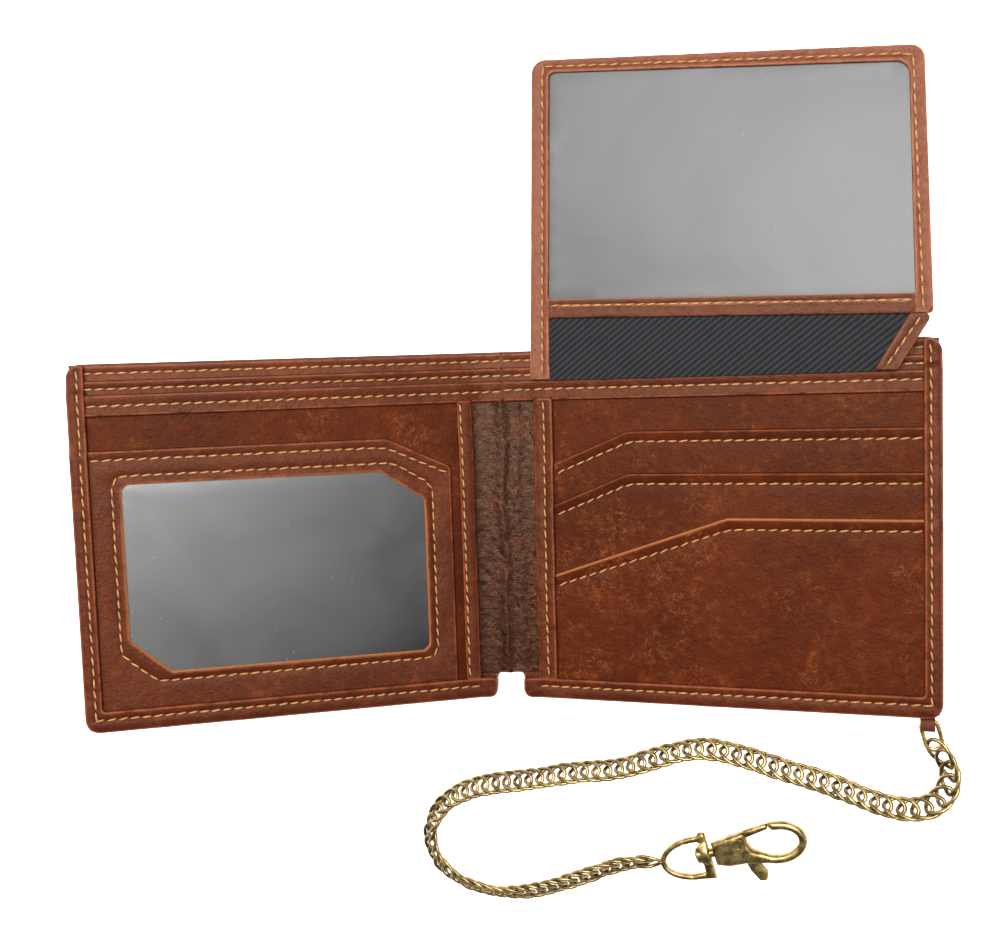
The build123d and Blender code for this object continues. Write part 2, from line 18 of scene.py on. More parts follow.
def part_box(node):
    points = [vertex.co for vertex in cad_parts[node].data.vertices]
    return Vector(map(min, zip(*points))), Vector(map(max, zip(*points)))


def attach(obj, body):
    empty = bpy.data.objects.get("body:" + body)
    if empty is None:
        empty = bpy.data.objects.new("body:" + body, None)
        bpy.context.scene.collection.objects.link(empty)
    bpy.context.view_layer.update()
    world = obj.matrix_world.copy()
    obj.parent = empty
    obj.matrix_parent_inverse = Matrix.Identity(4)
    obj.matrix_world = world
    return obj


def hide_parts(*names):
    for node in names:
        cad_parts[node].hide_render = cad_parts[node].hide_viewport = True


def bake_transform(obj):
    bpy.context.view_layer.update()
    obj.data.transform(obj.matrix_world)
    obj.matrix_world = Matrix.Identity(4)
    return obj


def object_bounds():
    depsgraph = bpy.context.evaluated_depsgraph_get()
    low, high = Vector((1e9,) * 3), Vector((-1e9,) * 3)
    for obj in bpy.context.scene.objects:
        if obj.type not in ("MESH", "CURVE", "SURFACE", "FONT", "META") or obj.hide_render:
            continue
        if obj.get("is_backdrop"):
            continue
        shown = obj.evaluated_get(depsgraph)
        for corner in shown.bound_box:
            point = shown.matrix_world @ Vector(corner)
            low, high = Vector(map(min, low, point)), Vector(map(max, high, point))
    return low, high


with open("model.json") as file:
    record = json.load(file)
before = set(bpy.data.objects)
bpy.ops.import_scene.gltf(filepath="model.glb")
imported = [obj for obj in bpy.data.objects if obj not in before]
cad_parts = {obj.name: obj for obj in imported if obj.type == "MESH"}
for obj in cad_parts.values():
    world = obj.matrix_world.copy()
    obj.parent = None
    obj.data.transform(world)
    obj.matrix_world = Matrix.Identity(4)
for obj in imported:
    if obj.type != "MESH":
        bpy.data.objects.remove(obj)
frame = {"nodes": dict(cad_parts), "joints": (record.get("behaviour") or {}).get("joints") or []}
cad_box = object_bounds()
nodes = frame["nodes"]
MM = 0.001
random.seed(3)

# ---- the wallet's sizes, from the frame ------------------------------------------------------------
joints = {joint["name"]: joint for joint in frame["joints"]}


def cad(node):
    """The lowest and highest corners of a CAD node, in millimetres."""
    low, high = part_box(node)
    return low / MM, high / MM


right_fold = Vector(joints["right_fold"]["pos_m"]) / MM
left_fold = Vector(joints["left_fold"]["pos_m"]) / MM
flap_hinge = Vector(joints["flap_fold"]["pos_m"]) / MM
SPINE = (left_fold - right_fold).length
FOLD = math.atan2(left_fold.z - right_fold.z, right_fold.x - left_fold.x)
AXIS = right_fold.z
WIDTH = cad("right_cover")[1].x
TOP = cad("right_cover")[1].y
BOTTOM = cad("right_cover")[0].y
NOTCH = cad("spine_cover")[0].y
BAND_TOP = cad("right_top_band")[1].y
BAND_LOW = cad("right_top_band")[0].y
DIVIDER_TOP = cad("right_divider")[1].y
PANEL_TOP = cad("right_inner_panel")[1].y
COVER = cad("right_cover")[1].z
DIVIDER = cad("right_divider")[0].z
PANEL = cad("right_inner_panel")[0].z
FACE = cad("right_inner_panel")[1].z
SHEET = FACE - PANEL
SLOT_UPPER = cad("right_card_slot_upper")
SLOT_LOWER = cad("right_card_slot_lower")
POCKET = cad("right_front_pocket")
RIGHT_LIP = cad("right_edge_binding")[1].z - SHEET
FILM = 0.25
LEFT_LIP = FACE + FILM + SHEET
SIDE_LIP = 4.5
BOTTOM_LIP = 5.8
STRIP = 6.4
BEND = 3.0  # half of the length over which the leather bends at a fold
MIDDLE = -SPINE / 2

# ---- laying a flat sheet on the wallet -----------------------------------------------------------
STEP = 0.05


def bend_table():
    """Where the line at the fold's height runs, from the right half over the spine to the left half."""
    s_values = np.arange(BEND, -SPINE - BEND - STEP, -STEP)
    places = [(BEND, AXIS, 0.0)]
    for s in s_values[1:]:
        first = np.clip((BEND - s) / (2 * BEND), 0, 1)
        second = np.clip((BEND - SPINE - s) / (2 * BEND), 0, 1)
        lean = FOLD * (first * first * (3 - 2 * first) + second * second * (3 - 2 * second))
        x, z, _ = places[-1]
        places.append((x - STEP * math.cos(lean), z + STEP * math.sin(lean), lean))
    return s_values, np.array(places)


S_VALUES, PLACES = bend_table()


def wallet(s, y, w):
    """The point of the wallet, in millimetres, at s and y on the flat sheet and w over the outer face."""
    if s >= BEND:
        return Vector((s, y, w))
    number = min(int(round((BEND - s) / STEP)), len(PLACES) - 1)
    x, z, lean = PLACES[number]
    extra = S_VALUES[number] - s
    x -= extra * math.cos(lean)
    z += extra * math.sin(lean)
    return Vector((x + (w - AXIS) * math.sin(lean), y, z + (w - AXIS) * math.cos(lean)))


FLAP_LOW = cad("flap_hinge_cloth")[0]
DROOP = math.radians(2.6)
FLAP_LEVEL = FACE + 0.9


def flap(x, v, w):
    """The point of the flap at x, v up from its hinge line and w over its under face."""
    return Vector((
        x,
        flap_hinge.y + v * math.cos(DROOP) + w * math.sin(DROOP),
        FLAP_LEVEL - v * math.sin(DROOP) + w * math.cos(DROOP),
    ))


# ---- outlines --------------------------------------------------------------------------------------
def rounded(corners):
    """A closed outline from (x, y, radius) corners."""
    points = []
    count = len(corners)
    for number, (x, y, radius) in enumerate(corners):
        here = Vector((x, y))
        if radius <= 0:
            points.append(here)
            continue
        back = (Vector(corners[number - 1][:2]) - here).normalized()
        ahead = (Vector(corners[(number + 1) % count][:2]) - here).normalized()
        half = back.angle(ahead) / 2
        reach = radius / math.tan(half)
        centre = here + (back + ahead).normalized() * (radius / math.sin(half))
        start = here + back * reach - centre
        turn = (math.pi - 2 * half) * (1 if back.x * ahead.y - back.y * ahead.x < 0 else -1)
        steps = max(3, round(radius * abs(turn) / 0.5))
        for step in range(steps + 1):
            angle = turn * step / steps
            cosine, sine = math.cos(angle), math.sin(angle)
            points.append(centre + Vector((start.x * cosine - start.y * sine, start.x * sine + start.y * cosine)))
    return points


def along(points, step, closed=False):
    """Points at an even spacing along a polyline, keeping its corners."""
    ends = list(points) + ([points[0]] if closed else [])
    found = []
    for a, b in zip(ends, ends[1:]):
        a, b = Vector(a), Vector(b)
        pieces = max(1, round((b - a).length / step))
        found += [a.lerp(b, k / pieces) for k in range(pieces)]
    return found if closed else found + [Vector(ends[-1])]


def distance(points, line, closed=False):
    """How far each point lies from a polyline."""
    ends = np.array([tuple(p) for p in line] + ([tuple(line[0])] if closed else []), float)
    a, b = ends[:-1], ends[1:]
    d = b - a
    rel = points[:, None, :] - a[None]
    share = np.clip((rel * d[None]).sum(2) / np.maximum((d * d).sum(1), 1e-12)[None], 0, 1)
    return np.sqrt(((rel - share[..., None] * d[None]) ** 2).sum(2)).min(1)


def inside(points, outline):
    """Which points lie inside a closed outline."""
    hit = np.zeros(len(points), bool)
    ends = [tuple(p) for p in outline]
    for (x1, y1), (x2, y2) in zip(ends, ends[1:] + ends[:1]):
        crosses = (y1 > points[:, 1]) != (y2 > points[:, 1])
        if y1 != y2:
            hit ^= crosses & (points[:, 0] < (x2 - x1) * (points[:, 1] - y1) / (y2 - y1) + x1)
    return hit


# ---- materials -------------------------------------------------------------------------------------
def rgb(red, green, blue):
    """A colour given as on a colour chart, 0 to 255, as the shaders take it."""
    return tuple(((c / 255 + 0.055) / 1.055) ** 2.4 if c > 10 else c / 3295 for c in (red, green, blue)) + (1.0,)


class Surface:
    """A material, and short ways to add its nodes."""

    def __init__(self, name):
        self.material = bpy.data.materials.new(name)
        self.material.use_nodes = True
        self.tree = self.material.node_tree
        self.shader = self.tree.nodes["Principled BSDF"]

    def put(self, socket, value):
        if isinstance(value, bpy.types.NodeSocket):
            self.tree.links.new(value, socket)
        else:
            socket.default_value = value

    def node(self, kind, settings=None, **inputs):
        made = self.tree.nodes.new("ShaderNode" + kind)
        for key, value in (settings or {}).items():
            setattr(made, key, value)
        for key, value in inputs.items():
            self.put(made.inputs[key.replace("_", " ")], value)
        return made

    def place(self, from_object=False):
        """The coordinates of the flat sheet, or the object's own where a piece has no sheet."""
        if from_object:
            return self.node("TexCoord").outputs["Object"]
        return self.node("Attribute", {"attribute_name": "rest"}).outputs["Vector"]

    def tint(self):
        colour = self.node("Attribute", {"attribute_name": "tint"}).outputs["Color"]
        return self.node("SeparateColor", Color=colour).outputs

    def math(self, operation, a, b=0.5, clamp=False):
        made = self.node("Math", {"operation": operation, "use_clamp": clamp})
        self.put(made.inputs[0], a)
        self.put(made.inputs[1], b)
        return made.outputs[0]

    def noise(self, where, scale, detail=4.0, roughness=0.55, distortion=0.0):
        return self.node("TexNoise", Vector=where, Scale=scale, Detail=detail, Roughness=roughness,
                         Distortion=distortion).outputs["Fac"]

    def band(self, value, low, high):
        """0 below low, 1 above high, smooth between."""
        made = self.node("MapRange", {"interpolation_type": "SMOOTHSTEP"}, Value=value)
        made.inputs["From Min"].default_value = low
        made.inputs["From Max"].default_value = high
        return made.outputs["Result"]

    def mix(self, share, a, b, blend="MIX"):
        made = self.node("Mix", {"data_type": "RGBA", "blend_type": blend})
        self.put(made.inputs["Factor"], share)
        self.put(made.inputs[6], a)
        self.put(made.inputs[7], b)
        return made.outputs[2]

    def bump(self, height, strength, distance, normal=None):
        made = self.node("Bump", Strength=strength, Distance=distance, Height=height)
        if normal is not None:
            self.put(made.inputs["Normal"], normal)
        return made.outputs["Normal"]

    def finish(self, colour, roughness, normal=None, **fixed):
        self.put(self.shader.inputs["Base Color"], colour)
        self.put(self.shader.inputs["Roughness"], roughness)
        if normal is not None:
            self.put(self.shader.inputs["Normal"], normal)
        for key, value in fixed.items():
            self.shader.inputs[key.replace("_", " ")].default_value = value
        return self.material


EDGE_BROWN = rgb(42, 18, 18)
RAW_TAN = rgb(182, 116, 66)
PULL_UP = rgb(170, 98, 56)


def leather_material(name, dark, middle, light, crackle=0.5, roughness=0.4, shine=0.5, wear=(0.45, 0.72),
                     from_object=False):
    """Waxed pull-up leather: mottled, with fine grain, pale stress lines, dark edges, tan cut edges and a painted
    highlight just inside the rounded edges.
    """
    s = Surface(name)
    where = s.place(from_object)
    broad = s.band(s.noise(where, 30, 4, 0.55, 0.4), 0.25, 0.75)
    patch = s.noise(where, 240, 6, 0.65, 0.4)
    colour = s.mix(s.math("ADD", 0.45, s.math("MULTIPLY", broad, 0.55)), dark, middle)
    colour = s.mix(s.math("MULTIPLY", s.band(patch, 0.5, 0.8), 0.55), colour, light)
    colour = s.mix(s.math("MULTIPLY", s.band(patch, 0.46, 0.24), 0.35), colour, dark)
    bent = s.node("VectorMath", {"operation": "ADD"})
    s.put(bent.inputs[0], where)
    shift = s.node("TexNoise", Vector=where, Scale=260.0, Detail=4.0).outputs["Color"]
    scaled = s.node("VectorMath", {"operation": "SCALE"}, Scale=0.006)
    s.put(scaled.inputs[0], shift)
    s.put(bent.inputs[1], scaled.outputs[0])
    cells = s.node("TexVoronoi", {"feature": "DISTANCE_TO_EDGE"}, Vector=bent.outputs[0], Scale=400.0)
    line = s.band(cells.outputs["Distance"], 0.06, 0.0)
    fine_cells = s.node("TexVoronoi", {"feature": "DISTANCE_TO_EDGE"}, Vector=bent.outputs[0], Scale=1000.0)
    fine_line = s.band(fine_cells.outputs["Distance"], 0.1, 0.0)
    worn = s.band(s.noise(where, 70, 5, 0.65), *wear)
    torn = s.band(s.noise(where, 620, 3, 0.6), 0.42, 0.6)
    cracks = s.math("MULTIPLY", s.math("MAXIMUM", s.math("MULTIPLY", line, 0.8), s.math("MULTIPLY", fine_line, 0.6)), worn)
    cracks = s.math("MULTIPLY", cracks, torn)
    colour = s.mix(s.math("MULTIPLY", cracks, crackle), colour, PULL_UP)
    grain = s.node("TexVoronoi", Vector=bent.outputs[0], Scale=1500.0).outputs["Distance"]
    colour = s.mix(s.math("MULTIPLY", s.band(grain, 0.35, 0.75), 0.25), colour, dark)
    if not from_object:
        red, green, blue = s.tint()[:3]
        colour = s.mix(s.math("MULTIPLY", blue, 0.35), colour, dark)
        # Painted highlight: a pale band a little in from each finished edge, where the rounded edge catches the light.
        painted_edge_highlight = s.math("MULTIPLY", s.band(red, 0.25, 0.5), s.band(red, 0.85, 0.6))
        colour = s.mix(s.math("MULTIPLY", painted_edge_highlight, s.band(patch, 0.3, 0.6)), colour, light)
        rim = s.math("MULTIPLY", s.band(red, 0.7, 1.0), s.math("ADD", 0.5, s.math("MULTIPLY", patch, 0.4)), True)
        colour = s.mix(rim, colour, EDGE_BROWN)
        fibres = s.mix(s.noise(where, 900, 5, 0.7), rgb(136, 80, 42), RAW_TAN)
        colour = s.mix(green, colour, fibres)
    height = s.math("ADD", s.math("MULTIPLY", grain, 0.5), s.noise(where, 2600, 3, 0.6))
    height = s.math("SUBTRACT", height, s.math("MULTIPLY", cracks, 0.5))
    normal = s.bump(height, 0.55, 0.00016)
    normal = s.bump(s.noise(where, 420, 5, 0.65, 0.6), 0.5, 0.0006, normal)
    rough = s.math("ADD", roughness - 0.12, s.math("MULTIPLY", patch, 0.3))
    return s.finish(colour, rough, normal, Specular_IOR_Level=shine, Specular_Tint=(1.0, 0.62, 0.42, 1.0))


def thread_material():
    """Waxed golden thread, laid in two plies."""
    s = Surface("gold_thread")
    where = s.place()
    ply = s.node("TexWave", {"bands_direction": "DIAGONAL"}, Vector=where, Scale=520.0, Distortion=1.5)
    red = s.tint()[0]
    # The thread is mixed from dark to pale by the stitches' painted brightness: painted shade towards each stitch's
    # ends, painted highlight in its middle.
    colour = s.mix(red, rgb(96, 54, 22), rgb(206, 148, 80))
    colour = s.mix(s.math("MULTIPLY", ply.outputs["Fac"], 0.35), colour, rgb(96, 58, 26))
    normal = s.bump(ply.outputs["Fac"], 0.5, 0.00008)
    return s.finish(colour, s.math("ADD", 0.45, s.math("MULTIPLY", ply.outputs["Fac"], 0.2)), normal)


def brass_material(from_object=False):
    """Antique brass: rubbed bright where it is proud, brown in the hollows; on the chain the brown is also painted
    shade under the wire and inside each link.
    """
    s = Surface("antique_brass_cad" if from_object else "antique_brass")
    where = s.place(from_object)
    patina = s.noise(where, 420, 6, 0.65, 0.5)
    colour = s.mix(s.band(patina, 0.35, 0.7), rgb(122, 100, 58), rgb(196, 170, 112))
    if not from_object:
        # Darker where the tint's red is high: on the chain, painted shade under the wire and on the inside of each
        # link, partly patina.
        colour = s.mix(s.tint()[0], colour, rgb(52, 42, 24))
    scratches = s.noise(where, 3800, 2, 0.5, 2.0)
    normal = s.bump(s.math("ADD", patina, s.math("MULTIPLY", scratches, 0.4)), 0.3, 0.0001)
    rough = s.math("ADD", 0.2, s.math("MULTIPLY", patina, 0.28))
    return s.finish(colour, rough, normal, Metallic=0.95)


def film_material(name, pale, deep, alpha, shine):
    """Clear film with dust and faint scratches, over what lies behind it, with a painted reflection: pale at its top
    left, deep at its bottom right.
    """
    s = Surface(name)
    where = s.place()
    across = s.node("SeparateXYZ", Vector=s.node("Attribute", {"attribute_name": "share"}).outputs["Vector"])
    # Painted reflection: the film runs from pale at its top left to deep at its bottom right, broken by soft waves.
    slope = s.math("ADD", s.math("MULTIPLY", across.outputs["X"], 0.55),
                   s.math("MULTIPLY", s.math("SUBTRACT", 1.0, across.outputs["Y"]), 0.45))
    wave = s.noise(where, 24, 3, 0.5, 0.8)
    painted_reflection = s.math("ADD", slope, s.math("MULTIPLY", s.math("SUBTRACT", wave, 0.5), 0.5), True)
    colour = s.mix(painted_reflection, pale, deep)
    dust = s.node("TexVoronoi", Vector=where, Scale=520.0)
    speck = s.math("MULTIPLY", s.band(dust.outputs["Distance"], 0.09, 0.04), s.band(s.noise(where, 90, 3), 0.56, 0.66))
    colour = s.mix(s.math("MULTIPLY", speck, 0.4), colour, rgb(215, 215, 212))
    normal = s.bump(wave, 0.25, 0.0012)
    rough = s.math("ADD", shine, s.math("MULTIPLY", speck, 0.4))
    return s.finish(colour, rough, normal, Alpha=alpha, Specular_IOR_Level=0.6)


def twill_material():
    """Charcoal twill: raised diagonal ribs with a pale thread between them."""
    s = Surface("charcoal_twill")
    where = s.place()
    turned = s.node("Mapping", Vector=where)
    turned.inputs["Rotation"].default_value = (0, 0, math.radians(-38))
    ribs = s.node("TexWave", {"bands_direction": "Y", "wave_profile": "SIN"}, Vector=turned.outputs[0], Scale=235.0,
                  Distortion=0.6, Detail=2.0)
    ribs.inputs["Detail Scale"].default_value = 4.0
    yarn = s.noise(where, 2400, 3, 0.6)
    colour = s.mix(ribs.outputs["Fac"], rgb(5, 5, 6), rgb(48, 49, 52))
    colour = s.mix(s.math("MULTIPLY", yarn, 0.5), colour, rgb(38, 38, 40))
    normal = s.bump(s.math("ADD", ribs.outputs["Fac"], s.math("MULTIPLY", yarn, 0.4)), 0.7, 0.0002)
    return s.finish(colour, 0.8, normal, Specular_IOR_Level=0.2)


COVER_LEATHER = leather_material("cover_leather", rgb(60, 22, 11), rgb(90, 38, 19), rgb(128, 66, 38), 0.25, 0.4, 0.35)
# The pocket copy of the leather is darker and less shiny: partly its own tone, partly painted shade of the lower right
# of the wallet.
POCKET_LEATHER = leather_material("pocket_leather", rgb(38, 11, 3), rgb(80, 29, 8), rgb(118, 56, 22), 0.7, 0.38, 0.14)
TRIM_LEATHER = leather_material("trim_leather", rgb(46, 14, 6), rgb(84, 32, 13), rgb(124, 60, 30), 0.25, 0.4, 0.3)
# The flap copy of the leather is lighter and paler: partly its own tone, partly painted sheen of the light falling on
# the flap.
FLAP_LEATHER = leather_material("flap_leather", rgb(76, 32, 20), rgb(114, 56, 36), rgb(154, 92, 64), 0.3, 0.42, 0.6)
BAR_LEATHER = leather_material("bar_leather", rgb(50, 18, 10), rgb(84, 37, 22), rgb(120, 66, 44), 0.4, 0.42, 0.4)
SPINE_LEATHER = leather_material("spine_leather", rgb(22, 8, 4), rgb(46, 19, 9), rgb(98, 50, 27), 0.4, 0.3, 0.35,
                                 (0.25, 0.6))
INNER_LEATHER = leather_material("inner_leather", rgb(60, 26, 16), rgb(84, 40, 24), rgb(104, 56, 36), 0.1, 0.6,
                                 from_object=True)
THREAD = thread_material()
BRASS = brass_material()
BRASS_CAD = brass_material(True)
WINDOW_FILM = film_material("window_film", rgb(116, 116, 116), rgb(12, 12, 12), 1.0, 0.26)
FLAP_FILM = film_material("flap_film", rgb(50, 50, 50), rgb(34, 34, 34), 1.0, 0.4)
TWILL = twill_material()


# ---- sheets ----------------------------------------------------------------------------------------
ROUND = 0.35       # how far in from a finished edge the face curves down
RINGS = (0.08, 0.2, 0.35, 0.8)
SEAM_ROWS = (-0.9, -0.4, 0.0, 0.4, 0.9)


def beside(line, offsets, step, closed=False):
    """Points along a line and to both sides of it."""
    points = along(line, step, closed)
    found = []
    for k, point in enumerate(points):
        last = points[k - 1] if closed or k else points[k]
        after = points[(k + 1) % len(points)] if closed or k + 1 < len(points) else points[k]
        way = (after - last).normalized()
        found += [point + Vector((-way.y, way.x)) * offset for offset in offsets]
    return np.array([tuple(p) for p in found]).reshape(-1, 2)


def fill(outline, holes, seams, spacing):
    """Triangles over an outline with holes: fine at the edges and the seams, coarser between them."""
    loops = [along(loop, 1.0, True) for loop in [outline, *holes]]

    def clearance(points):
        gap = np.min([distance(points, loop, True) for loop in loops], 0)
        within = inside(points, outline)
        for hole in holes:
            within &= ~inside(points, hole)
        return np.where(within, gap, -1)

    chosen = [np.array([tuple(p) for loop in loops for p in loop])]
    for gap in RINGS:
        ring = np.concatenate([beside(loop, (-gap, gap), 1.0, True) for loop in loops])
        chosen.append(ring[clearance(ring) > 0.97 * gap])
    for seam in seams:
        rows = beside(seam, SEAM_ROWS, 0.9)
        chosen.append(rows[clearance(rows) > 0.95])
    low, high = chosen[0].min(0), chosen[0].max(0)
    rows = []
    for number, y in enumerate(np.arange(low[1] + spacing / 2, high[1], spacing * 0.87)):
        x = np.arange(low[0] + spacing * (0.5 if number % 2 else 1.0), high[0], spacing)
        rows.append(np.stack([x, np.full(len(x), y)], 1))
    grid = np.concatenate(rows)
    grid = grid[clearance(grid) > 0.8 + spacing * 0.45]
    for seam in seams:
        grid = grid[distance(grid, seam) > 0.9 + spacing * 0.45]
    chosen.append(grid)
    points = np.concatenate(chosen)
    edges, first = [], 0
    for loop in loops:
        edges += [(first + k, first + (k + 1) % len(loop)) for k in range(len(loop))]
        first += len(loop)
    found, _, faces, *_ = delaunay_2d_cdt([Vector(p) for p in points.tolist()], edges, [], 0, 1e-4)
    points = np.array([tuple(p) for p in found])
    faces = np.array([tuple(face) for face in faces])
    a, b, c = (points[faces[:, k]] for k in range(3))
    centre = (a + b + c) / 3
    area = (b[:, 0] - a[:, 0]) * (c[:, 1] - a[:, 1]) - (b[:, 1] - a[:, 1]) * (c[:, 0] - a[:, 0])
    keep = inside(centre, outline) & (np.abs(area) > 1e-5)
    for hole in holes:
        keep &= ~inside(centre, hole)
    faces, area = faces[keep], area[keep]
    faces[area < 0] = faces[area < 0][:, ::-1]
    return points, faces, clearance(points)


def roughly(points, size, height, seed=0.0):
    """Soft unevenness, as hand-finished leather has."""
    return np.array([noise.fractal(Vector((x / size, y / size, seed)), 1.0, 2.0, 3) for x, y in points]) * height


def paced(line, pitch):
    """Points at even steps of about the pitch along a line, corners or not."""
    places = np.array([tuple(p) for p in line], float)
    walked = np.concatenate([[0], np.cumsum(np.linalg.norm(np.diff(places, axis=0), axis=1))])
    steps = np.linspace(0, walked[-1], max(2, round(walked[-1] / pitch)) + 1)
    return [Vector((np.interp(t, walked, places[:, 0]), np.interp(t, walked, places[:, 1]))) for t in steps]


def stitches(seam, rise, pitch=2.9, size=2.5, radius=0.22, lean=7):
    """Slanting stitches of thick thread: points (s, y, w over the face), faces, and how bright each point is."""
    ends = paced(seam, pitch)
    points, faces, bright = [], [], []
    for a, b in zip(ends, ends[1:]):
        way = (b - a).normalized()
        angle = math.radians(lean + random.uniform(-5, 5))
        way = Vector((way.x * math.cos(angle) - way.y * math.sin(angle), way.x * math.sin(angle) + way.y * math.cos(angle)))
        side = Vector((-way.y, way.x))
        middle = (a + b) / 2
        half = size / 2 * random.uniform(0.93, 1.05)
        tone = random.uniform(0.75, 1.0)
        first = len(points)
        rows = 7
        for row in range(rows):
            t = -1 + 2 * row / (rows - 1)
            thick = radius * max(0.25, (1 - t ** 4) ** 0.5)
            for k in range(6):
                turn = math.tau * k / 6
                spot = middle + way * (t * half) + side * (thick * math.cos(turn))
                points.append((spot.x, spot.y, rise * (1 - 1.6 * t ** 4) + thick * 0.85 * math.sin(turn)))
                # Painted shade and highlight: each stitch is pale in its middle and darker towards its ends, where it
                # sinks into the leather; the tone also varies at random from stitch to stitch.
                bright.append(tone * (0.35 + 0.65 * (1 - t * t)))
        for row in range(rows - 1):
            for k in range(6):
                p, q = first + row * 6 + k, first + row * 6 + (k + 1) % 6
                faces.append((q, p, p + 6, q + 6))
        faces.append(tuple(first + k for k in range(6)))
        faces.append(tuple(first + (rows - 1) * 6 + k for k in reversed(range(6))))
    return points, faces, bright


def mesh_object(name, points, faces, layers, materials, numbers=None):
    """An object from points in metres, with its colour layers and its materials."""
    mesh = bpy.data.meshes.new(name)
    mesh.from_pydata(points, [], faces)
    for key, kind, values in layers:
        layer = mesh.attributes.new(key, kind, "POINT")
        layer.data.foreach_set("color" if kind == "FLOAT_COLOR" else "vector", np.asarray(values, "f").ravel())
    for material in materials:
        mesh.materials.append(material)
    if numbers is not None:
        mesh.polygons.foreach_set("material_index", numbers)
    mesh.polygons.foreach_set("use_smooth", [True] * len(mesh.polygons))
    mesh.set_sharp_from_angle(angle=math.radians(50))
    mesh.update()
    made = bpy.data.objects.new(name, mesh)
    bpy.context.scene.collection.objects.link(made)
    return made


def sheet(name, outline, low, high, material, lay=wallet, holes=(), seams=(), raw=(), plain=(), relief=None,
          spacing=1.7, dark=1.0, rounding=ROUND, pitch=2.9, lean=7,
          both=False):
    """A cut sheet, from height low to height high, sewn along its seams, laid by the given function.

    raw lists the (line, width) of its tan cut edges, and plain the lines where it goes on in another piece.
    """
    points, faces, gap = fill(outline, holes, seams, spacing)
    at_edge = np.clip(gap, 0, None)
    joined = np.zeros(len(points), bool)
    for line in plain:
        joined |= distance(points, line) < at_edge + 0.02
    drop = np.clip(rounding - at_edge, 0, None)
    drop = rounding - np.sqrt(np.clip(rounding ** 2 - drop ** 2, 0, None))
    drop[joined] = 0
    seam_gap = np.min([distance(points, seam) for seam in seams], 0) if seams else np.full(len(points), 99.0)
    lift = roughly(points, 9.0, 0.05, len(name)) if relief is None else relief(points)
    if material is not BRASS:
        lift = lift + 0.1 * np.exp(-((at_edge - 0.9) / 0.6) ** 2) * (~joined)
    lift = lift - 0.2 * np.exp(-(seam_gap / 0.55) ** 2) - 0.12 * np.exp(-(seam_gap / 1.7) ** 2)
    edge_tint = np.where(joined, 0, np.clip(1 - at_edge / 1.1, 0, 1) * dark)
    raw_tint = np.zeros(len(points))
    for line, width in raw:
        near = distance(points, line)
        raw_tint = np.maximum(raw_tint, np.clip((width * 1.25 - near) / (width * 0.5), 0, 1))
    edge_tint = edge_tint * (1 - raw_tint)
    seam_tint = np.exp(-(seam_gap / 0.8) ** 2)
    low_at = low(points) if callable(low) else np.full(len(points), float(low))
    high_at = high(points) if callable(high) else np.full(len(points), float(high))
    top = high_at + lift - drop
    if both:
        low_at = low_at + drop
    top = np.maximum(top, low_at + 0.1)
    count = len(points)
    flat = np.concatenate([np.column_stack([points, top]), np.column_stack([points, low_at])])
    tint = np.column_stack([edge_tint, raw_tint, seam_tint, np.ones(count)])
    tint = np.concatenate([tint, tint])
    edges = {}
    for face in faces.tolist():
        for a, b in zip(face, face[1:] + face[:1]):
            edges[(a, b)] = True
    rim = [(a, b) for a, b in edges if (b, a) not in edges]
    all_faces = [tuple(face) for face in faces.tolist()]
    all_faces += [tuple(k + count for k in reversed(face)) for face in faces.tolist()]
    all_faces += [(b, a, a + count, b + count) for a, b in rim]
    numbers = [0] * len(all_faces)
    heights = top
    for seam in seams:
        sewn, sewn_faces, bright = stitches(seam, 0.1, pitch=pitch, lean=lean)
        spots = np.array(sewn)
        nearest = np.argmin(((points[None] - spots[::42, None, :2]) ** 2).sum(2), 1)
        base = np.repeat(heights[nearest] + 0.12, 42)[:len(spots)]
        spots[:, 2] += base
        first = len(flat)
        flat = np.concatenate([flat, spots])
        tint = np.concatenate([tint, np.column_stack([bright, np.zeros(len(spots)), np.zeros(len(spots)), np.ones(len(spots))])])
        all_faces += [tuple(k + first for k in face) for face in sewn_faces]
        numbers += [1] * len(sewn_faces)
    placed = [lay(*p) * MM for p in flat.tolist()]
    low_corner, high_corner = flat[:count, :2].min(0), flat[:count, :2].max(0)
    share = np.column_stack([(flat[:, :2] - low_corner) / (high_corner - low_corner), flat[:, 2]])
    layers = [("rest", "FLOAT_VECTOR", flat * MM), ("share", "FLOAT_VECTOR", share), ("tint", "FLOAT_COLOR", tint)]
    return mesh_object(name, placed, all_faces, layers, [material, THREAD] if seams else [material], numbers)


# ---- the wallet's layers ---------------------------------------------------------------------------
def left(u, y):
    """A place on the left half, u from its fold towards its outer side."""
    return Vector((-SPINE - u, y))


def mirror(corners):
    """Rounded-outline corners of the left half, given as (u, y, radius)."""
    return [(-SPINE - u, y, radius) for u, y, radius in reversed(corners)]


def shifted(line, amount):
    """A line moved sideways, to its left when positive."""
    points = [Vector(p) for p in line]
    found = []
    for k, point in enumerate(points):
        ways = []
        if k:
            ways.append((point - points[k - 1]).normalized())
        if k + 1 < len(points):
            ways.append((points[k + 1] - point).normalized())
        normal = sum((Vector((-w.y, w.x)) for w in ways), Vector((0, 0))).normalized()
        found.append(point + normal * (amount / max(0.5, normal.dot(Vector((-ways[0].y, ways[0].x))))))
    return found


def height_of(line, x):
    """The y of a line that runs from left to right, at each x."""
    places = sorted((p[0], p[1]) for p in line)
    return np.interp(x, [p[0] for p in places], [p[1] for p in places])


def ramp(value, start, end):
    share = np.clip((value - start) / (end - start), 0, 1)
    return share * share * (3 - 2 * share)


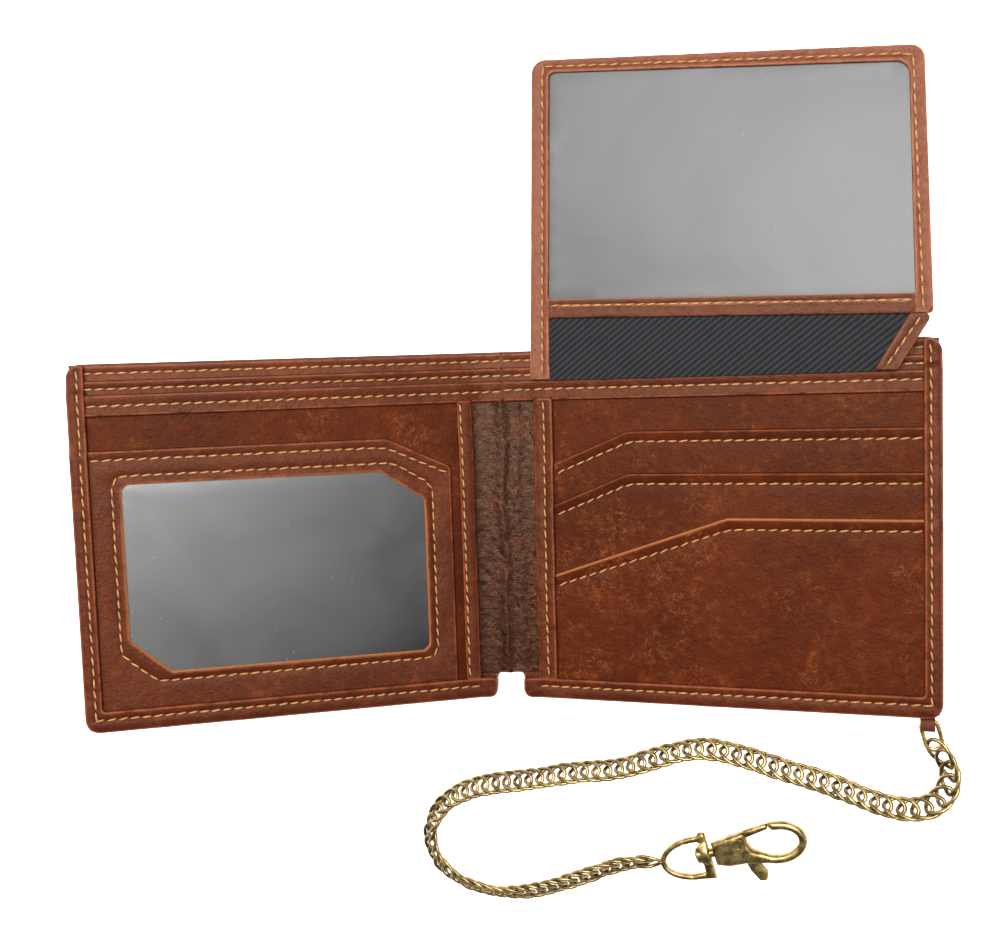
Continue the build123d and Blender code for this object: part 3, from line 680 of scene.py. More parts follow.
LAYER_IN = cad("right_divider")[0].x
LAYER_OUT = cad("right_divider")[1].x
LAYER_LOW = cad("right_divider")[0].y
SLOT_SLANT, SLOT_KNEE = 10.4, 26.5
POCKET_SLANT, POCKET_KNEE = 17.4, 52.5
PIECES = []  # (object, body or (body, body, start, end), nodes it stands for, record slot)


def add(piece, body, stands_for, slot):
    PIECES.append((piece, body, stands_for, slot))
    return piece


FIRST_FOLD = ("right_half", "spine", wallet(BEND, 0, AXIS) * MM, wallet(-BEND, 0, AXIS) * MM)
SECOND_FOLD = ("left_half", "spine", wallet(-SPINE - BEND, 0, AXIS) * MM, wallet(-SPINE + BEND, 0, AXIS) * MM)


def cover_height(points):
    return 1.25 + 0.15 * np.clip(np.abs(points[:, 0] - MIDDLE) / 4 - 1, 0, 1)


NOTCH_SIDE = 4.4
right_outline = rounded([
    (MIDDLE, TOP, 0), (MIDDLE, NOTCH, 0), (-NOTCH_SIDE, NOTCH, 1.2), (-NOTCH_SIDE, BOTTOM, 3),
    (WIDTH, BOTTOM, 4), (WIDTH, TOP, 4),
])
left_outline = rounded(mirror([
    (MIDDLE, TOP, 0), (MIDDLE, NOTCH, 0), (-NOTCH_SIDE, NOTCH, 1.2), (-NOTCH_SIDE, BOTTOM, 3),
    (WIDTH, BOTTOM, 4), (WIDTH, TOP, 4),
])[:4] + [(-SPINE - MIDDLE, NOTCH, 0), (-SPINE - MIDDLE, TOP, 0)])
spine_joint = [(MIDDLE, BOTTOM), (MIDDLE, TOP)]
add(sheet("cover_right", right_outline, 0.0, cover_height, COVER_LEATHER, plain=[spine_joint], spacing=2.2),
    FIRST_FOLD, ["right_cover", "spine_cover"], "cover_leather")
add(sheet("cover_left", left_outline, 0.0, cover_height, COVER_LEATHER, plain=[spine_joint], spacing=2.2),
    SECOND_FOLD, ["left_cover"], "cover_leather")

HEM = 2.5  # stitches from an edge


def block(x0, y0, x1, y1):
    return [Vector(p) for p in ((x0, y0), (x1, y0), (x1, y1), (x0, y1))]


def level(line_start, line_end, y):
    return [Vector((line_start, y)), Vector((line_end, y))]


def gathers(points):
    """Small upright folds where the leather is squeezed at the spine."""
    near = np.exp(-((points[:, 0] - MIDDLE) / 10) ** 2)
    folds = np.array([noise.noise(Vector((x / 0.9, y / 7, 5.0))) for x, y in points])
    return roughly(points, 8, 0.08, 6.0) + 0.3 * near * folds


def divider_level(points):
    away = np.abs(points[:, 0] - MIDDLE) - SPINE / 2
    return AXIS + 0.15 + (DIVIDER - AXIS - 0.15) * ramp(away, -3.5, 1.5)


def bridged(across, low, high):
    """An outline that fills its half and goes on over the spine behind the top band."""
    corners = across(LAYER_IN, LAYER_OUT, low, high) + across(MIDDLE, LAYER_IN, BAND_LOW + 1.0, high)
    xs = sorted({round(p.x, 6) for p in corners}, key=lambda x: abs(x - MIDDLE))
    joint, inner, outer = xs
    return [Vector(p) for p in ((outer, low), (inner, low), (inner, BAND_LOW + 1.0), (joint, BAND_LOW + 1.0),
                                (joint, high), (outer, high))]


# The turned hem of the cover, the note divider and the inner panel behind the pockets.
for side, body, turn in (("right", "right_half", 1), ("left", "left_half", -1)):
    def across(x0, x1, y0, y1, turn=turn):
        if turn > 0:
            return block(x0, y0, x1, y1)
        return block(-SPINE - x1, y0, -SPINE - x0, y1)

    def row(y, x0=LAYER_IN, x1=LAYER_OUT, turn=turn):
        return level(x0, x1, y) if turn > 0 else level(-SPINE - x1, -SPINE - x0, y)

    fold = FIRST_FOLD if turn > 0 else SECOND_FOLD
    add(sheet(f"{side}_hem", across(MIDDLE, LAYER_OUT, 25.0, TOP - 0.3), COVER, COVER + 0.5, COVER_LEATHER,
              seams=[row(TOP - HEM, MIDDLE)], plain=[spine_joint], relief=gathers, spacing=1.3),
        fold, [f"{side}_lining"], "lining_leather")
    add(sheet(f"{side}_note_divider", bridged(across, LAYER_LOW, DIVIDER_TOP), divider_level,
              lambda points: divider_level(points) + 0.7, TRIM_LEATHER, seams=[row(DIVIDER_TOP - 2.2, MIDDLE)],
              plain=[spine_joint], relief=gathers, spacing=1.3), fold, [f"{side}_divider"], "pocket_leather")
    add(sheet(f"{side}_panel", across(LAYER_IN, LAYER_OUT, LAYER_LOW, BAND_TOP - 0.6), PANEL, FACE, POCKET_LEATHER),
        body, [f"{side}_inner_panel"], "pocket_leather")


# The pockets of the right half.
def pocket_top(top, knee, slant):
    """A pocket's top edge, from the spine side outwards."""
    return [Vector((LAYER_IN, top - slant)), Vector((knee, top)), Vector((LAYER_OUT, top))]


upper_edge = pocket_top(SLOT_UPPER[1].y, SLOT_KNEE, SLOT_SLANT)
lower_edge = pocket_top(SLOT_LOWER[1].y, SLOT_KNEE, SLOT_SLANT)
front_edge = pocket_top(POCKET[1].y, POCKET_KNEE, POCKET_SLANT)
window_edge = [left(LAYER_OUT, 25.4), left(24.4, 25.4), left(7.2, 17.2)]
SEWN_IN = cad("right_spine_edge_strip")[1].x
SEWN_OUT = WIDTH - SIDE_LIP


def trimmed(line, start, end):
    """The part of a line between two x."""
    inner = [p for p in line if start < p.x < end]
    return [Vector((start, height_of(line, start))), *inner, Vector((end, height_of(line, end)))]


for name, edge, box, gap, raw in (
    ("card_slot_upper", upper_edge, SLOT_UPPER, 2.9, ()),
    ("card_slot_lower", lower_edge, SLOT_LOWER, 2.9, ()),
    ("front_pocket", front_edge, POCKET, 3.0, [(front_edge, 0.36)]),
):
    seam = trimmed(shifted(edge, -gap), SEWN_IN + 0.5, SEWN_OUT)
    outline = [Vector((LAYER_OUT, LAYER_LOW)), *reversed(edge), Vector((LAYER_IN, LAYER_LOW))]

    def swell(points, edge=edge, raw=bool(raw)):
        depth = height_of(edge, points[:, 0]) - points[:, 1]
        crease = np.exp(-((depth - 1.25) / 0.25) ** 2) * (0 if raw else 0.22)
        lip = 0.12 * np.exp(-(depth / 0.9) ** 2)
        return roughly(points, 14, 0.16, 3.0) + roughly(points, 3.5, 0.05, 9.0) + lip - crease

    add(sheet(f"{name}_leather", outline, box[0].z, box[1].z, POCKET_LEATHER, seams=[seam], raw=raw, relief=swell),
        "right_half", [f"right_{name}"], "pocket_leather")


# The window pocket of the left half and its film.
def window(grow):
    """The window's outline, or one farther out."""
    low, high = 14.8 - grow, 92.9 + grow
    base, top = -32.9 - grow, 16.4 + grow
    cut = grow * 0.6
    return [
        left(high, top), left(low + 11.8 - cut, top), left(low, top - 7.8 + cut), left(low, base),
        left(high - 10.2 + cut, base), left(high, base + 8.8 - cut),
    ]


def softened(points, radius):
    return rounded([(p.x, p.y, radius) for p in points])


hole = softened(window(0), 2.2)
ring = softened(window(2.3), 2.6)
window_outline = [left(LAYER_OUT, LAYER_LOW), left(7.2, LAYER_LOW), *reversed(window_edge)]
window_seam = shifted(window_edge, -2.5)
window_seam = [left(SEWN_OUT, 22.9), window_seam[1], left(8.2, window_seam[2].y + 0.3)]


def window_swell(points):
    depth = height_of(window_edge, points[:, 0]) - points[:, 1]
    crease = 0.22 * np.exp(-((depth - 1.25) / 0.25) ** 2)
    return roughly(points, 12, 0.2, 5.0) + roughly(points, 3.5, 0.05, 2.0) - crease


add(sheet("window_pocket_leather", window_outline, FACE + FILM, LEFT_LIP, TRIM_LEATHER, holes=[hole],
          seams=[window_seam, ring + ring[:1]], raw=[(hole + hole[:1], 0.22)], relief=window_swell),
    "left_half", ["left_window_pocket"], "pocket_leather")
add(sheet("window_film", softened(window(2.0), 2), FACE, FACE + FILM * 0.9, WINDOW_FILM, rounding=0.01, spacing=4.0,
          relief=lambda points: roughly(points, 30, 0.05, 1.0)), "left_half", ["left_window_film"], "clear_film")


# ---- bindings, bands and the spine ------------------------------------------------------------------
def right_stack(points):
    """The height of the layers on the right half."""
    x, y = points[:, 0], points[:, 1]
    height = np.full(len(points), DIVIDER + 0.7)
    for line_y, rise in ((BAND_TOP + 1.2, 1.4), (height_of(upper_edge, x), 0.7), (height_of(lower_edge, x), 0.7),
                         (height_of(front_edge, x), 0.7)):
        height = height + rise * ramp(line_y - y, -1.2, 1.2)
    return height


def left_stack(points):
    y = points[:, 1]
    height = np.full(len(points), DIVIDER + 0.7)
    for line_y, rise in ((BAND_TOP + 1.2, 1.4), (25.4, 0.95)):
        height = height + rise * ramp(line_y - y, -1.2, 1.2)
    return height


def binding(side, turn, stack):
    """The turned edge of the cover: down the outer side and along the bottom."""
    x_in, x_out = WIDTH - SIDE_LIP, WIDTH
    y_in = BOTTOM + BOTTOM_LIP
    corners = [(-NOTCH_SIDE, BOTTOM, 2.6), (x_out, BOTTOM, 4), (x_out, TOP, 4), (x_in, TOP, 0.6), (x_in, y_in, 0.8),
               (-NOTCH_SIDE, y_in, 1.5)]
    outline = rounded(corners) if turn > 0 else rounded(mirror(corners))
    place = (lambda x, y: Vector((x, y))) if turn > 0 else left
    upright = [place(x_in + 1.7, TOP - 1.5), place(x_in + 1.7, BOTTOM + 3.2)]
    foot = [place(1.2, BOTTOM + 3.6), place(x_out - 2.2, BOTTOM + 3.6)]
    outer = [place(x_out, TOP), place(x_out, BOTTOM), place(-NOTCH_SIDE, BOTTOM), place(-NOTCH_SIDE, y_in)]

    def under(points):
        gap = distance(points, outer)
        return COVER * 0.9 + (stack(points) - COVER * 0.9) * ramp(gap, 0.3, 0.9)

    def over(points):
        gap = distance(points, outer)
        return stack(points) + 0.75 - 0.9 * np.clip(1 - gap / 1.8, 0, 1) ** 2

    return sheet(f"{side}_binding", outline, under, over, TRIM_LEATHER, seams=[upright, foot], dark=0.8,
                 relief=lambda points: roughly(points, 7, 0.12, 4.0) + roughly(points, 2.2, 0.05, 6.0))


add(binding("right", 1, right_stack), FIRST_FOLD, ["right_edge_binding"], "trim_leather")
add(binding("left", -1, left_stack), SECOND_FOLD, ["left_edge_binding"], "trim_leather")


def spine_strip(side, turn, stack, width, seam_x):
    x_in = cad("right_spine_edge_strip")[0].x
    y_in = BOTTOM + BOTTOM_LIP - 0.4
    place = (lambda x, y: Vector((x, y))) if turn > 0 else left
    corners = [(x_in, y_in, 0.4), (width, y_in, 0.4), (width, BAND_LOW + 0.8, 0), (x_in, BAND_LOW + 0.8, 0)]
    outline = rounded(corners) if turn > 0 else rounded(mirror(corners))
    inner = [place(x_in, y_in), place(x_in, BAND_TOP)]

    def under(points):
        gap = distance(points, inner)
        return COVER + 0.1 + (stack(points) - COVER - 0.1) * ramp(gap, 0.3, 0.8)

    def over(points):
        gap = distance(points, inner)
        return stack(points) + 0.72 - 0.5 * np.clip(1 - gap / 1.4, 0, 1) ** 2

    return sheet(f"{side}_spine_strip", outline, under, over, TRIM_LEATHER,
                 seams=[[place(seam_x, y_in + 1), place(seam_x, BAND_LOW)]], dark=0.9,
                 relief=lambda points: roughly(points, 5, 0.1, 8.0) + roughly(points, 2, 0.05, 1.0))


add(spine_strip("right", 1, right_stack, SEWN_IN, 3.9), "right_half", ["right_spine_edge_strip"], "trim_leather")
add(spine_strip("left", -1, left_stack, 5.2, 4.2), "left_half", ["left_spine_edge_strip"], "trim_leather")


def band_level(points):
    """The band lies on the panels of both halves and sinks between them on the spine."""
    away = np.abs(points[:, 0] - MIDDLE) - SPINE / 2
    return AXIS + 0.5 + (FACE - AXIS - 0.5) * ramp(away, -3.5, 2.5)


def band(name, start, end, seam_drop):
    outline = block(start, BAND_LOW, end, BAND_TOP)
    low, high = min(start, end), max(start, end)
    seam = level(low + (0.1 if low == MIDDLE else 0.8), high - (0.1 if high == MIDDLE else 0.8), BAND_TOP - seam_drop)

    def relief(points):
        near = np.exp(-((points[:, 0] - MIDDLE) / 11) ** 2)
        wrinkle = np.array([noise.noise(Vector((x / 1.1, y / 9, 2.0))) for x, y in points])
        return roughly(points, 8, 0.1, 2.0) + wrinkle * 0.22 * near

    return sheet(name, outline, band_level, lambda points: band_level(points) + 0.75, TRIM_LEATHER, seams=[seam],
                 plain=[[(MIDDLE, BAND_LOW), (MIDDLE, BAND_TOP)]], relief=relief, spacing=1.2)


add(band("band_right", MIDDLE, LAYER_OUT, 2.5), FIRST_FOLD, ["right_top_band", "spine_top_band"], "trim_leather")
add(band("band_left", -SPINE - LAYER_OUT, MIDDLE, 2.9), SECOND_FOLD, ["left_top_band"], "trim_leather")


def wrinkles(points):
    """Soft upright folds and fine creases of the leather between the halves."""
    found = []
    for s, y in points:
        bent = s + 1.3 * noise.noise(Vector((s / 9, y / 16, 7.0)))
        ridge = 0.9 * math.exp(-((bent - MIDDLE + 0.6) / 1.3) ** 2) + 0.45 * math.exp(-((bent - MIDDLE - 3.4) / 1.2) ** 2)
        ridge *= 0.75 + 0.5 * noise.noise(Vector((0, y / 14, 1.0)))
        slant = s + 0.35 * y + 1.5 * noise.noise(Vector((s / 5, y / 7, 4.0)))
        fine = noise.fractal(Vector((slant / 1.5, y / 7, 3.0)), 0.7, 2.3, 5)
        found.append(ridge + 0.34 * (0.5 - abs(fine)) + 0.08 * noise.noise(Vector((s / 0.8, y / 1.2, 8.0))))
    return np.array(found)


for name, start, end, body, nodes_for in (
    ("spine_leather_right", MIDDLE, 1.2, FIRST_FOLD, ["spine_inner_leather"]),
    ("spine_leather_left", -SPINE - 1.2, MIDDLE, SECOND_FOLD, []),
):
    add(sheet(name, block(start, NOTCH + 0.2, end, BAND_TOP - 0.8), 1.3, AXIS, SPINE_LEATHER,
              plain=[[(MIDDLE, NOTCH), (MIDDLE, TOP)]], relief=wrinkles, spacing=0.7), body, nodes_for, "soft_leather")


# ---- the flap --------------------------------------------------------------------------------------
FLAP_START = cad("flap_frame")[0].x
FLAP_END = cad("flap_frame")[1].x
FLAP_TAPER = 1.9
FLAP_TOP = (84.2, 77.4)       # left and right sides, from the hinge line
BAR_LOW = (15.9, 12.9)
BAR_WIDTH = 4.9
FLAP_LEG = 5.4
FLAP_LEG_RIGHT = 4.2
FLAP_HEAD = 3.6
FRAME_LOW, FRAME_HIGH = 0.9, 1.7


def slope(ends, x, more=0.0):
    return Vector((x, ends[0] + (ends[1] - ends[0]) * (x - FLAP_START) / (FLAP_END - FLAP_START) + more))


def cornered(points, radii):
    return rounded([(p.x, p.y, r) for p, r in zip(points, radii)])


film_left, film_right = FLAP_START + FLAP_LEG, FLAP_END - FLAP_LEG_RIGHT
top_left, top_right = slope(FLAP_TOP, FLAP_START + FLAP_TAPER), slope(FLAP_TOP, FLAP_END - FLAP_TAPER)
flap_edge = [
    Vector((FLAP_START, -0.55)), Vector((film_left, -0.55)), slope(BAR_LOW, film_left, 0.05), slope(BAR_LOW, film_right, 0.05),
    slope(BAR_LOW, FLAP_END), top_right, top_left,
]
flap_window = [
    slope(BAR_LOW, film_left, BAR_WIDTH), slope(BAR_LOW, film_right, BAR_WIDTH),
    slope(FLAP_TOP, film_right - 1.2, -FLAP_HEAD - 0.3), slope(FLAP_TOP, film_left + 1.2, -FLAP_HEAD + 0.2),
]
leather_window = cornered(flap_window, (0.6, 0.6, 3.5, 1.5))


def ragged(points):
    return roughly(points, 10, 0.15, 3.0) + roughly(points, 2.4, 0.06, 5.0)


frame_outline = cornered(flap_edge, (0.3, 0, 0, 0, 1.0, 3.6, 3.6))
border = shifted([
    Vector((FLAP_START + 3.4, 1.0)), top_left + Vector((3.0, -2.1)), top_right + Vector((-2.6, -2.0)),
    slope(BAR_LOW, FLAP_END - 2.4, 1.0),
], 0.0)
frame_piece = sheet("flap_leather", frame_outline, FRAME_LOW, FRAME_HIGH, FLAP_LEATHER, lay=flap, holes=[leather_window],
                    seams=[border], relief=ragged, dark=0.6)
add(frame_piece, "flap", ["flap_frame"], "trim_leather")
back = cornered([flap_edge[0], flap_edge[1], slope(BAR_LOW, film_left), slope(BAR_LOW, FLAP_END), top_right, top_left],
                (0.3, 0, 0, 1.0, 3.6, 3.6))
add(sheet("flap_back_leather", back, 0.0, 0.5, FLAP_LEATHER, lay=flap, holes=[leather_window], spacing=3.0,
          relief=lambda points: roughly(points, 10, 0.05, 1.0)), "flap", ["flap_back_frame"], "trim_leather")
bar = [slope(BAR_LOW, film_left), slope(BAR_LOW, film_right), slope(BAR_LOW, film_right, BAR_WIDTH),
       slope(BAR_LOW, film_left, BAR_WIDTH)]
bar_top = [bar[3], bar[2]]
add(sheet("flap_bar_leather", bar, FRAME_LOW + 0.05, FRAME_HIGH + 0.25, BAR_LEATHER, lay=flap,
          seams=[[slope(BAR_LOW, film_left + 0.5, BAR_WIDTH - 1.7), slope(BAR_LOW, film_right - 0.5, BAR_WIDTH - 1.7)]],
          raw=[(bar_top, 0.22)], relief=ragged, dark=0.5), "flap", ["flap_crossbar"], "trim_leather")


def film_waves(points):
    return roughly(points, 26, 0.14, 12.0)


film_outline = [
    slope(BAR_LOW, film_left - 1.5, BAR_WIDTH - 1.5), slope(BAR_LOW, film_right + 1.5, BAR_WIDTH - 1.5),
    slope(FLAP_TOP, film_right + 0.5, -FLAP_HEAD + 1), slope(FLAP_TOP, film_left, -FLAP_HEAD + 1.2),
]
add(sheet("flap_film", film_outline, 0.5, 0.72, FLAP_FILM, lay=flap, rounding=0.01, spacing=3.5, relief=film_waves),
    "flap", ["flap_window_film"], "clear_film")

STRAP_FOOT = FLAP_END - 8.4
STRAP_WIDTH = 5.4
HINGE = ("right_half", "flap", flap(0, 0.3, FRAME_LOW) * MM, flap(0, 4.5, FRAME_LOW) * MM)
cloth_outline = [
    Vector((FLAP_START + 3.4, -0.9)), Vector((STRAP_FOOT - 1.5, -0.9)), slope(BAR_LOW, FLAP_END - 2.6),
    slope(BAR_LOW, FLAP_END - 2.6, BAR_WIDTH - 1.6), slope(BAR_LOW, FLAP_START + 3.4, BAR_WIDTH - 1.6),
]
twill = sheet("twill_hinge", cloth_outline, 0.5, 0.85, TWILL, lay=flap, rounding=0.05, spacing=2.0,
              relief=lambda points: roughly(points, 22, 0.35, 4.0) * ramp(points[:, 1], 0.5, 4) * ramp(points[:, 1], 13, 9))
add(twill, HINGE, ["flap_hinge_cloth"], "twill")
strap_outline = [
    Vector((STRAP_FOOT - STRAP_WIDTH, -0.6)), Vector((STRAP_FOOT, -0.6)), slope(BAR_LOW, FLAP_END),
    slope(BAR_LOW, FLAP_END - STRAP_WIDTH),
]
strap_outline = cornered(strap_outline, (0, 0, 1.2, 0.5))
strap_seam = [Vector((STRAP_FOOT - 2.6, 0.4)), slope(BAR_LOW, FLAP_END - 2.9, -0.8)]
add(sheet("strap_leather", strap_outline, FRAME_LOW + 0.05, FRAME_HIGH + 0.3, BAR_LEATHER, lay=flap, seams=[strap_seam],
          relief=ragged, dark=0.6), HINGE, ["flap_strap"], "trim_leather")


# ---- chain, clasp and floor ------------------------------------------------------------------------
CHAIN_ROUTE = [
    (103.3, -55.9), (106.1, -59.0), (106.9, -64.6), (104.4, -69.6), (99.6, -72.4), (92.1, -72.2),
    (84.2, -69.6), (75.2, -66.4), (65.4, -64.2), (54.6, -61.0), (43.6, -59.5), (32.4, -63.3), (21.6, -67.6), (9.4, -69.0),
    (-2.6, -72.0), (-14.8, -74.0), (-24.4, -77.2), (-31.4, -82.6), (-34.8, -90.4), (-32.6, -98.4),
    (-25.6, -103.8), (-16.0, -106.0), (-5.6, -105.2), (5.0, -101.6), (15.4, -96.8), (24.4, -93.2),
    (31.5, -92.5),
]
CHAIN_LEVEL = 2.5
LINK_PITCH = 3.3
LINK_LENGTH, LINK_WIDTH = 4.3, 2.5   # half sizes, to the middle of the wire
LINK_WIRE = 0.52
LINK_TWIST = 0.75

curve = bpy.data.curves.new("chain_route", "CURVE")
curve.dimensions = "3D"
spline = curve.splines.new("NURBS")
spline.points.add(len(CHAIN_ROUTE) - 1)
for point, (x, y) in zip(spline.points, CHAIN_ROUTE):
    point.co = (x * MM, y * MM, CHAIN_LEVEL * MM, 1)
spline.order_u = 3
spline.use_endpoint_u = True
spline.resolution_u = 12
route_object = bpy.data.objects.new("chain_route", curve)
route = [vertex.co.copy() for vertex in bpy.data.meshes.new_from_object(route_object).vertices]
bpy.data.objects.remove(route_object)
route_length = sum((b - a).length for a, b in zip(route, route[1:]))


def links():
    """Twisted, flattened wire links, two deep in each other, along the route."""
    count = round((route_length / MM - 2 * LINK_WIDTH) / LINK_PITCH)
    stations = []
    walked, number, want = 0.0, 0, 0.0
    spare = route_length - count * LINK_PITCH * MM
    for a, b in zip(route, route[1:]):
        size = (b - a).length
        while number <= count and want + spare / 2 <= walked + size:
            stations.append((a.lerp(b, (want + spare / 2 - walked) / size), (b - a).normalized()))
            number += 1
            want = number * LINK_PITCH * MM
        walked += size
    points, faces, dark, rest = [], [], [], []
    round_steps, wire_steps = 26, 8
    for place, way in stations:
        side = Vector((0, 0, 1)).cross(way).normalized()
        up = Vector((0, 0, 1))
        twist = Matrix.Rotation(LINK_TWIST + random.uniform(-0.12, 0.12), 3, way) @ Matrix.Rotation(random.uniform(-0.07, 0.07), 3, up)
        axes = [twist @ way, twist @ side, twist @ up]
        first = len(points)
        ring = []
        for k in range(round_steps):
            turn = math.tau * k / round_steps
            squeeze = 1 - 0.12 * math.cos(2 * turn)
            ring.append(axes[0] * (LINK_LENGTH * math.cos(turn)) + axes[1] * (LINK_WIDTH * math.sin(turn) * squeeze)
                        + axes[2] * (0.5 * math.sin(2 * turn)))
        for k, centre in enumerate(ring):
            forward = (ring[(k + 1) % round_steps] - ring[k - 1]).normalized()
            outward = centre.normalized()
            across = forward.cross(outward).normalized()
            outward = across.cross(forward)
            for step in range(wire_steps):
                turn = math.tau * step / wire_steps
                spot = centre + outward * (LINK_WIRE * math.cos(turn)) + across * (LINK_WIRE * math.sin(turn))
                points.append(place + spot * MM)
                rest.append(spot * MM + place)
                # Painted shade: the wire is darkened on its underside, and on the inner side of each link, where it is
                # partly patina in the hollows where the links meet.
                low = 0.5 - 0.5 * math.sin(turn) if across.z > 0 else 0.5 + 0.5 * math.sin(turn)
                inner = 0.5 - 0.5 * math.cos(turn)
                dark.append(min(1.0, 0.55 * inner ** 2 + 0.6 * low ** 3))
        for k in range(round_steps):
            for step in range(wire_steps):
                a, b = first + k * wire_steps + step, first + k * wire_steps + (step + 1) % wire_steps
                c, d = (first + ((k + 1) % round_steps) * wire_steps + (step + 1) % wire_steps,
                        first + ((k + 1) % round_steps) * wire_steps + step)
                faces.append((b, a, d, c))
    tint = [(value, 0, 0, 1) for value in dark]
    lift = min(p.z for p in points)
    points = [p - Vector((0, 0, lift - 0.00002)) for p in points]
    return mesh_object("chain_links", points, faces, [("rest", "FLOAT_VECTOR", rest), ("tint", "FLOAT_COLOR", tint)], [BRASS])


random.seed(7)
chain_links = add(links(), "chain_run", ["chain"], "antique_brass")
CLASP_ORIGIN = Vector((45.8, -88.9, 2.5))
CLASP_TURN = Matrix.Rotation(math.radians(16), 3, "Z")


def clasp(u, v, w):
    """A place on the clasp: u along it from the bail, v across and w up from its middle."""
    return CLASP_ORIGIN + CLASP_TURN @ Vector((u, v, w))


def oval(centre, axes, start, end, steps=20):
    """An arc of an ellipse, with angles in degrees."""
    angles = np.radians(np.linspace(start, end, steps))
    return [Vector((centre[0] + axes[0] * math.cos(a), centre[1] + axes[1] * math.sin(a))) for a in angles]


HOOK_BAR = 2.3
loop_centre, loop_axes = (18.9, -0.4), (7.8, 5.7)
loop_bore = tuple(axis - HOOK_BAR for axis in loop_axes)
hook_outline = (
    [Vector(p) for p in ((1.4, -3.5), (5.0, -4.3), (9.5, -4.3))]
    + oval(loop_centre, loop_axes, -118, 102) + oval(loop_centre, loop_bore, 98, -118)
    + [Vector(p) for p in ((12.0, -1.0), (11.1, 1.4), (11.3, 4.3), (6.2, 3.6), (1.4, 2.6))]
)


def hook_depth(points):
    """Half the hook's thickness: deeper at the body than at the loop and the neck."""
    u = points[:, 0]
    return 1.35 + 0.35 * ramp(u, 1.5, 6) - 0.45 * ramp(u, 11, 14)


def brass(name, outline, depth, body, stands_for, lay=clasp, holes=(), rounding=1.0, relief=None, spacing=0.7):
    deep = depth if callable(depth) else lambda points: np.full(len(points), float(depth))
    piece = sheet(name, outline, lambda points: -deep(points), deep, BRASS, lay=lay, holes=holes, rounding=rounding,
                  dark=0, both=True, spacing=spacing, relief=relief or (lambda points: roughly(points, 3, 0.05, 2.0)))
    return add(piece, body, stands_for, "antique_brass")


brass("hook_casting", hook_outline, hook_depth, "hook", ["hook_body"], rounding=1.05)
gate_arm = rounded([(10.2, 2.2, 0.5), (17.4, 3.6, 0.5), (17.5, 5.2, 0.6), (10.2, 4.3, 0.5)])
thumb_tab = rounded([(8.9, -2.8, 0.4), (12.3, -3.6, 0.4), (14.3, -7.6, 1.0), (13.4, -9.9, 1.0), (11.4, -9.6, 1.0), (9.8, -6.4, 1.0)])
brass("gate_arm", gate_arm, 0.85, "gate", ["gate_lever"], rounding=0.7)
brass("thumb_tab", thumb_tab, 0.8, "gate", [], rounding=0.5)
BAIL_WIRE = 1.6
bail_centre, bail_axes = (-3.6, -0.6), (10.0, 5.9)
bail_outline = oval(bail_centre, bail_axes, 80, 270) + [Vector((0.5, -7.0)), Vector((0.5, 5.8)), Vector((-1.2, 6.1))]
bail_hole = oval(bail_centre, tuple(axis - BAIL_WIRE for axis in bail_axes), 80, 280)


def collar(points):
    """The band swells round the swivel pin."""
    u, v = points[:, 0], points[:, 1]
    return 1.25 * np.sqrt(np.clip(1 - (v / 2.7) ** 2, 0, 1)) * ramp(u, -3.2, -2.4) + roughly(points, 2, 0.04, 3.0)


brass("bail_casting", bail_outline, 0.95, "bail", ["swivel_bail"], holes=[bail_hole], rounding=0.7, relief=collar)
ring_way = (Vector(route[0]) / MM - Vector((101.4, -48.6, CHAIN_LEVEL)))


def first_link(u, v, w):
    """The link that hangs from the tab, under the wallet's corner."""
    along_link = ring_way.normalized()
    side_way = Vector((-along_link.y, along_link.x, 0))
    return Vector((101.4, -48.9, CHAIN_LEVEL)) + along_link * u + side_way * v + Vector((0, 0, w))


link_outer = rounded([(-0.6, -2.6, 2.5), (8.2, -2.6, 2.5), (8.2, 2.6, 2.5), (-0.6, 2.6, 2.5)])
link_inner = rounded([(0.5, -1.5, 1.4), (7.1, -1.5, 1.4), (7.1, 1.5, 1.4), (0.5, 1.5, 1.4)])
brass("first_link", link_outer, 0.55, "chain_run", ["anchor_ring"], lay=first_link, holes=[link_inner], rounding=0.5, spacing=0.6)

for name in ("swivel_post", "gate_rivet", "gate_spring", "chain_tab"):
    piece = bpy.data.objects[name]
    metal = name != "chain_tab"
    piece.data.materials.clear()
    piece.data.materials.append(BRASS_CAD if metal else INNER_LEATHER)
    if metal and name != "gate_spring":
        soften = piece.modifiers.new("soften", "BEVEL")
        soften.width = 0.35 * MM
        soften.segments = 3
        soften.limit_method = "ANGLE"
        soften.angle_limit = math.radians(40)

for piece, body, stands_for, slot_name in PIECES:
    if isinstance(body, tuple):
        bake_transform(piece)
    else:
        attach(piece, body)
    if stands_for:
        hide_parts(*stands_for)

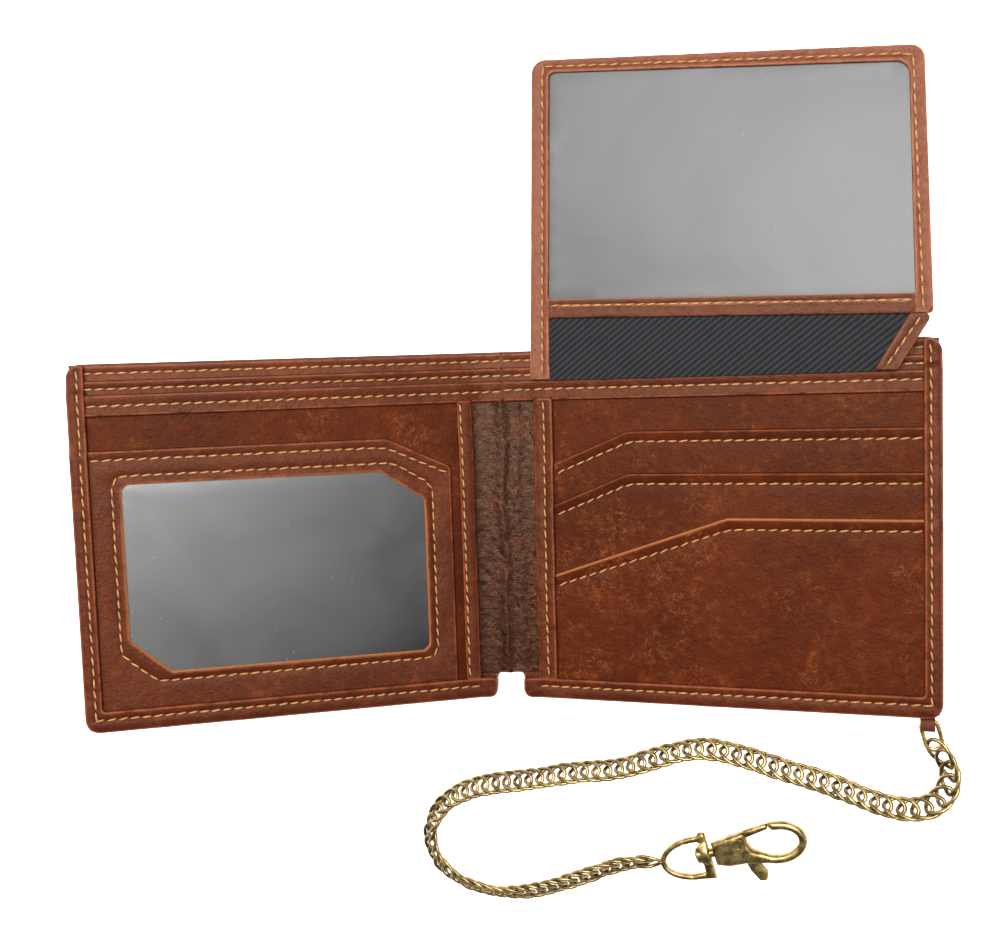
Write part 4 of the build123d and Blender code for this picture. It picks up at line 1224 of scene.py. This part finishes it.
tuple(route[0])

camera_data = bpy.data.cameras.new("camera")
camera_data.lens = 42.144
camera_data.sensor_width = 36
camera = bpy.data.objects.new("camera", camera_data)
camera.location = (0.08690, 0.04330, 0.30974)
camera.rotation_euler = (-0.0940, 0.3013, -0.0336)
bpy.context.scene.collection.objects.link(camera)
bpy.context.scene.camera = camera


def lamp(name, place, aim, size, power, colour=(1, 1, 1)):
    data = bpy.data.lights.new(name, "AREA")
    data.shape = "RECTANGLE"
    data.size, data.size_y = size
    data.energy = power
    data.color = colour
    made = bpy.data.objects.new(name, data)
    made.location = place
    made.rotation_euler = (Vector(aim) - Vector(place)).to_track_quat("-Z", "Y").to_euler()
    bpy.context.scene.collection.objects.link(made)
    return made


lamp("key", (-0.02, 0.34, 0.82), (0, 0.03, 0), (0.6, 0.34), 8.0)
lamp("sheen", (0.16, 0.13, 0.70), (-0.08, 0, 0), (0.2, 0.26), 3.5)
lamp("left", (-0.7, 0.2, 0.5), (0, 0, 0), (0.4, 0.4), 2.0)
lamp("right", (0.7, -0.2, 0.5), (0, 0, 0), (0.3, 0.3), 1.0)

floor_mesh = bpy.data.meshes.new("floor")
edge = bmesh.new()
bmesh.ops.create_grid(edge, x_segments=1, y_segments=1, size=3.0)
edge.to_mesh(floor_mesh)
edge.free()
floor = bpy.data.objects.new("floor", floor_mesh)
floor.location.z = 0.0
bpy.context.scene.collection.objects.link(floor)
ground = Surface("white_floor")
ground.finish(rgb(255, 255, 255), 0.9, Emission_Color=(1, 1, 1, 1), Emission_Strength=1.0)
floor_mesh.materials.append(ground.material)
floor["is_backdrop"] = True

world = bpy.data.worlds.new("studio")
world.use_nodes = True
world.node_tree.nodes["Background"].inputs["Color"].default_value = (1, 1, 1, 1)
world.node_tree.nodes["Background"].inputs["Strength"].default_value = 0.12
bpy.context.scene.world = world
bpy.context.scene.view_settings.view_transform = "Standard"

# ---- size ------------------------------------------------------------------------------------------
def plain(box):
    return [[round(value, 5) for value in corner] for corner in box]


{"cad": plain(cad_box), "scene": plain(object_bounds())}
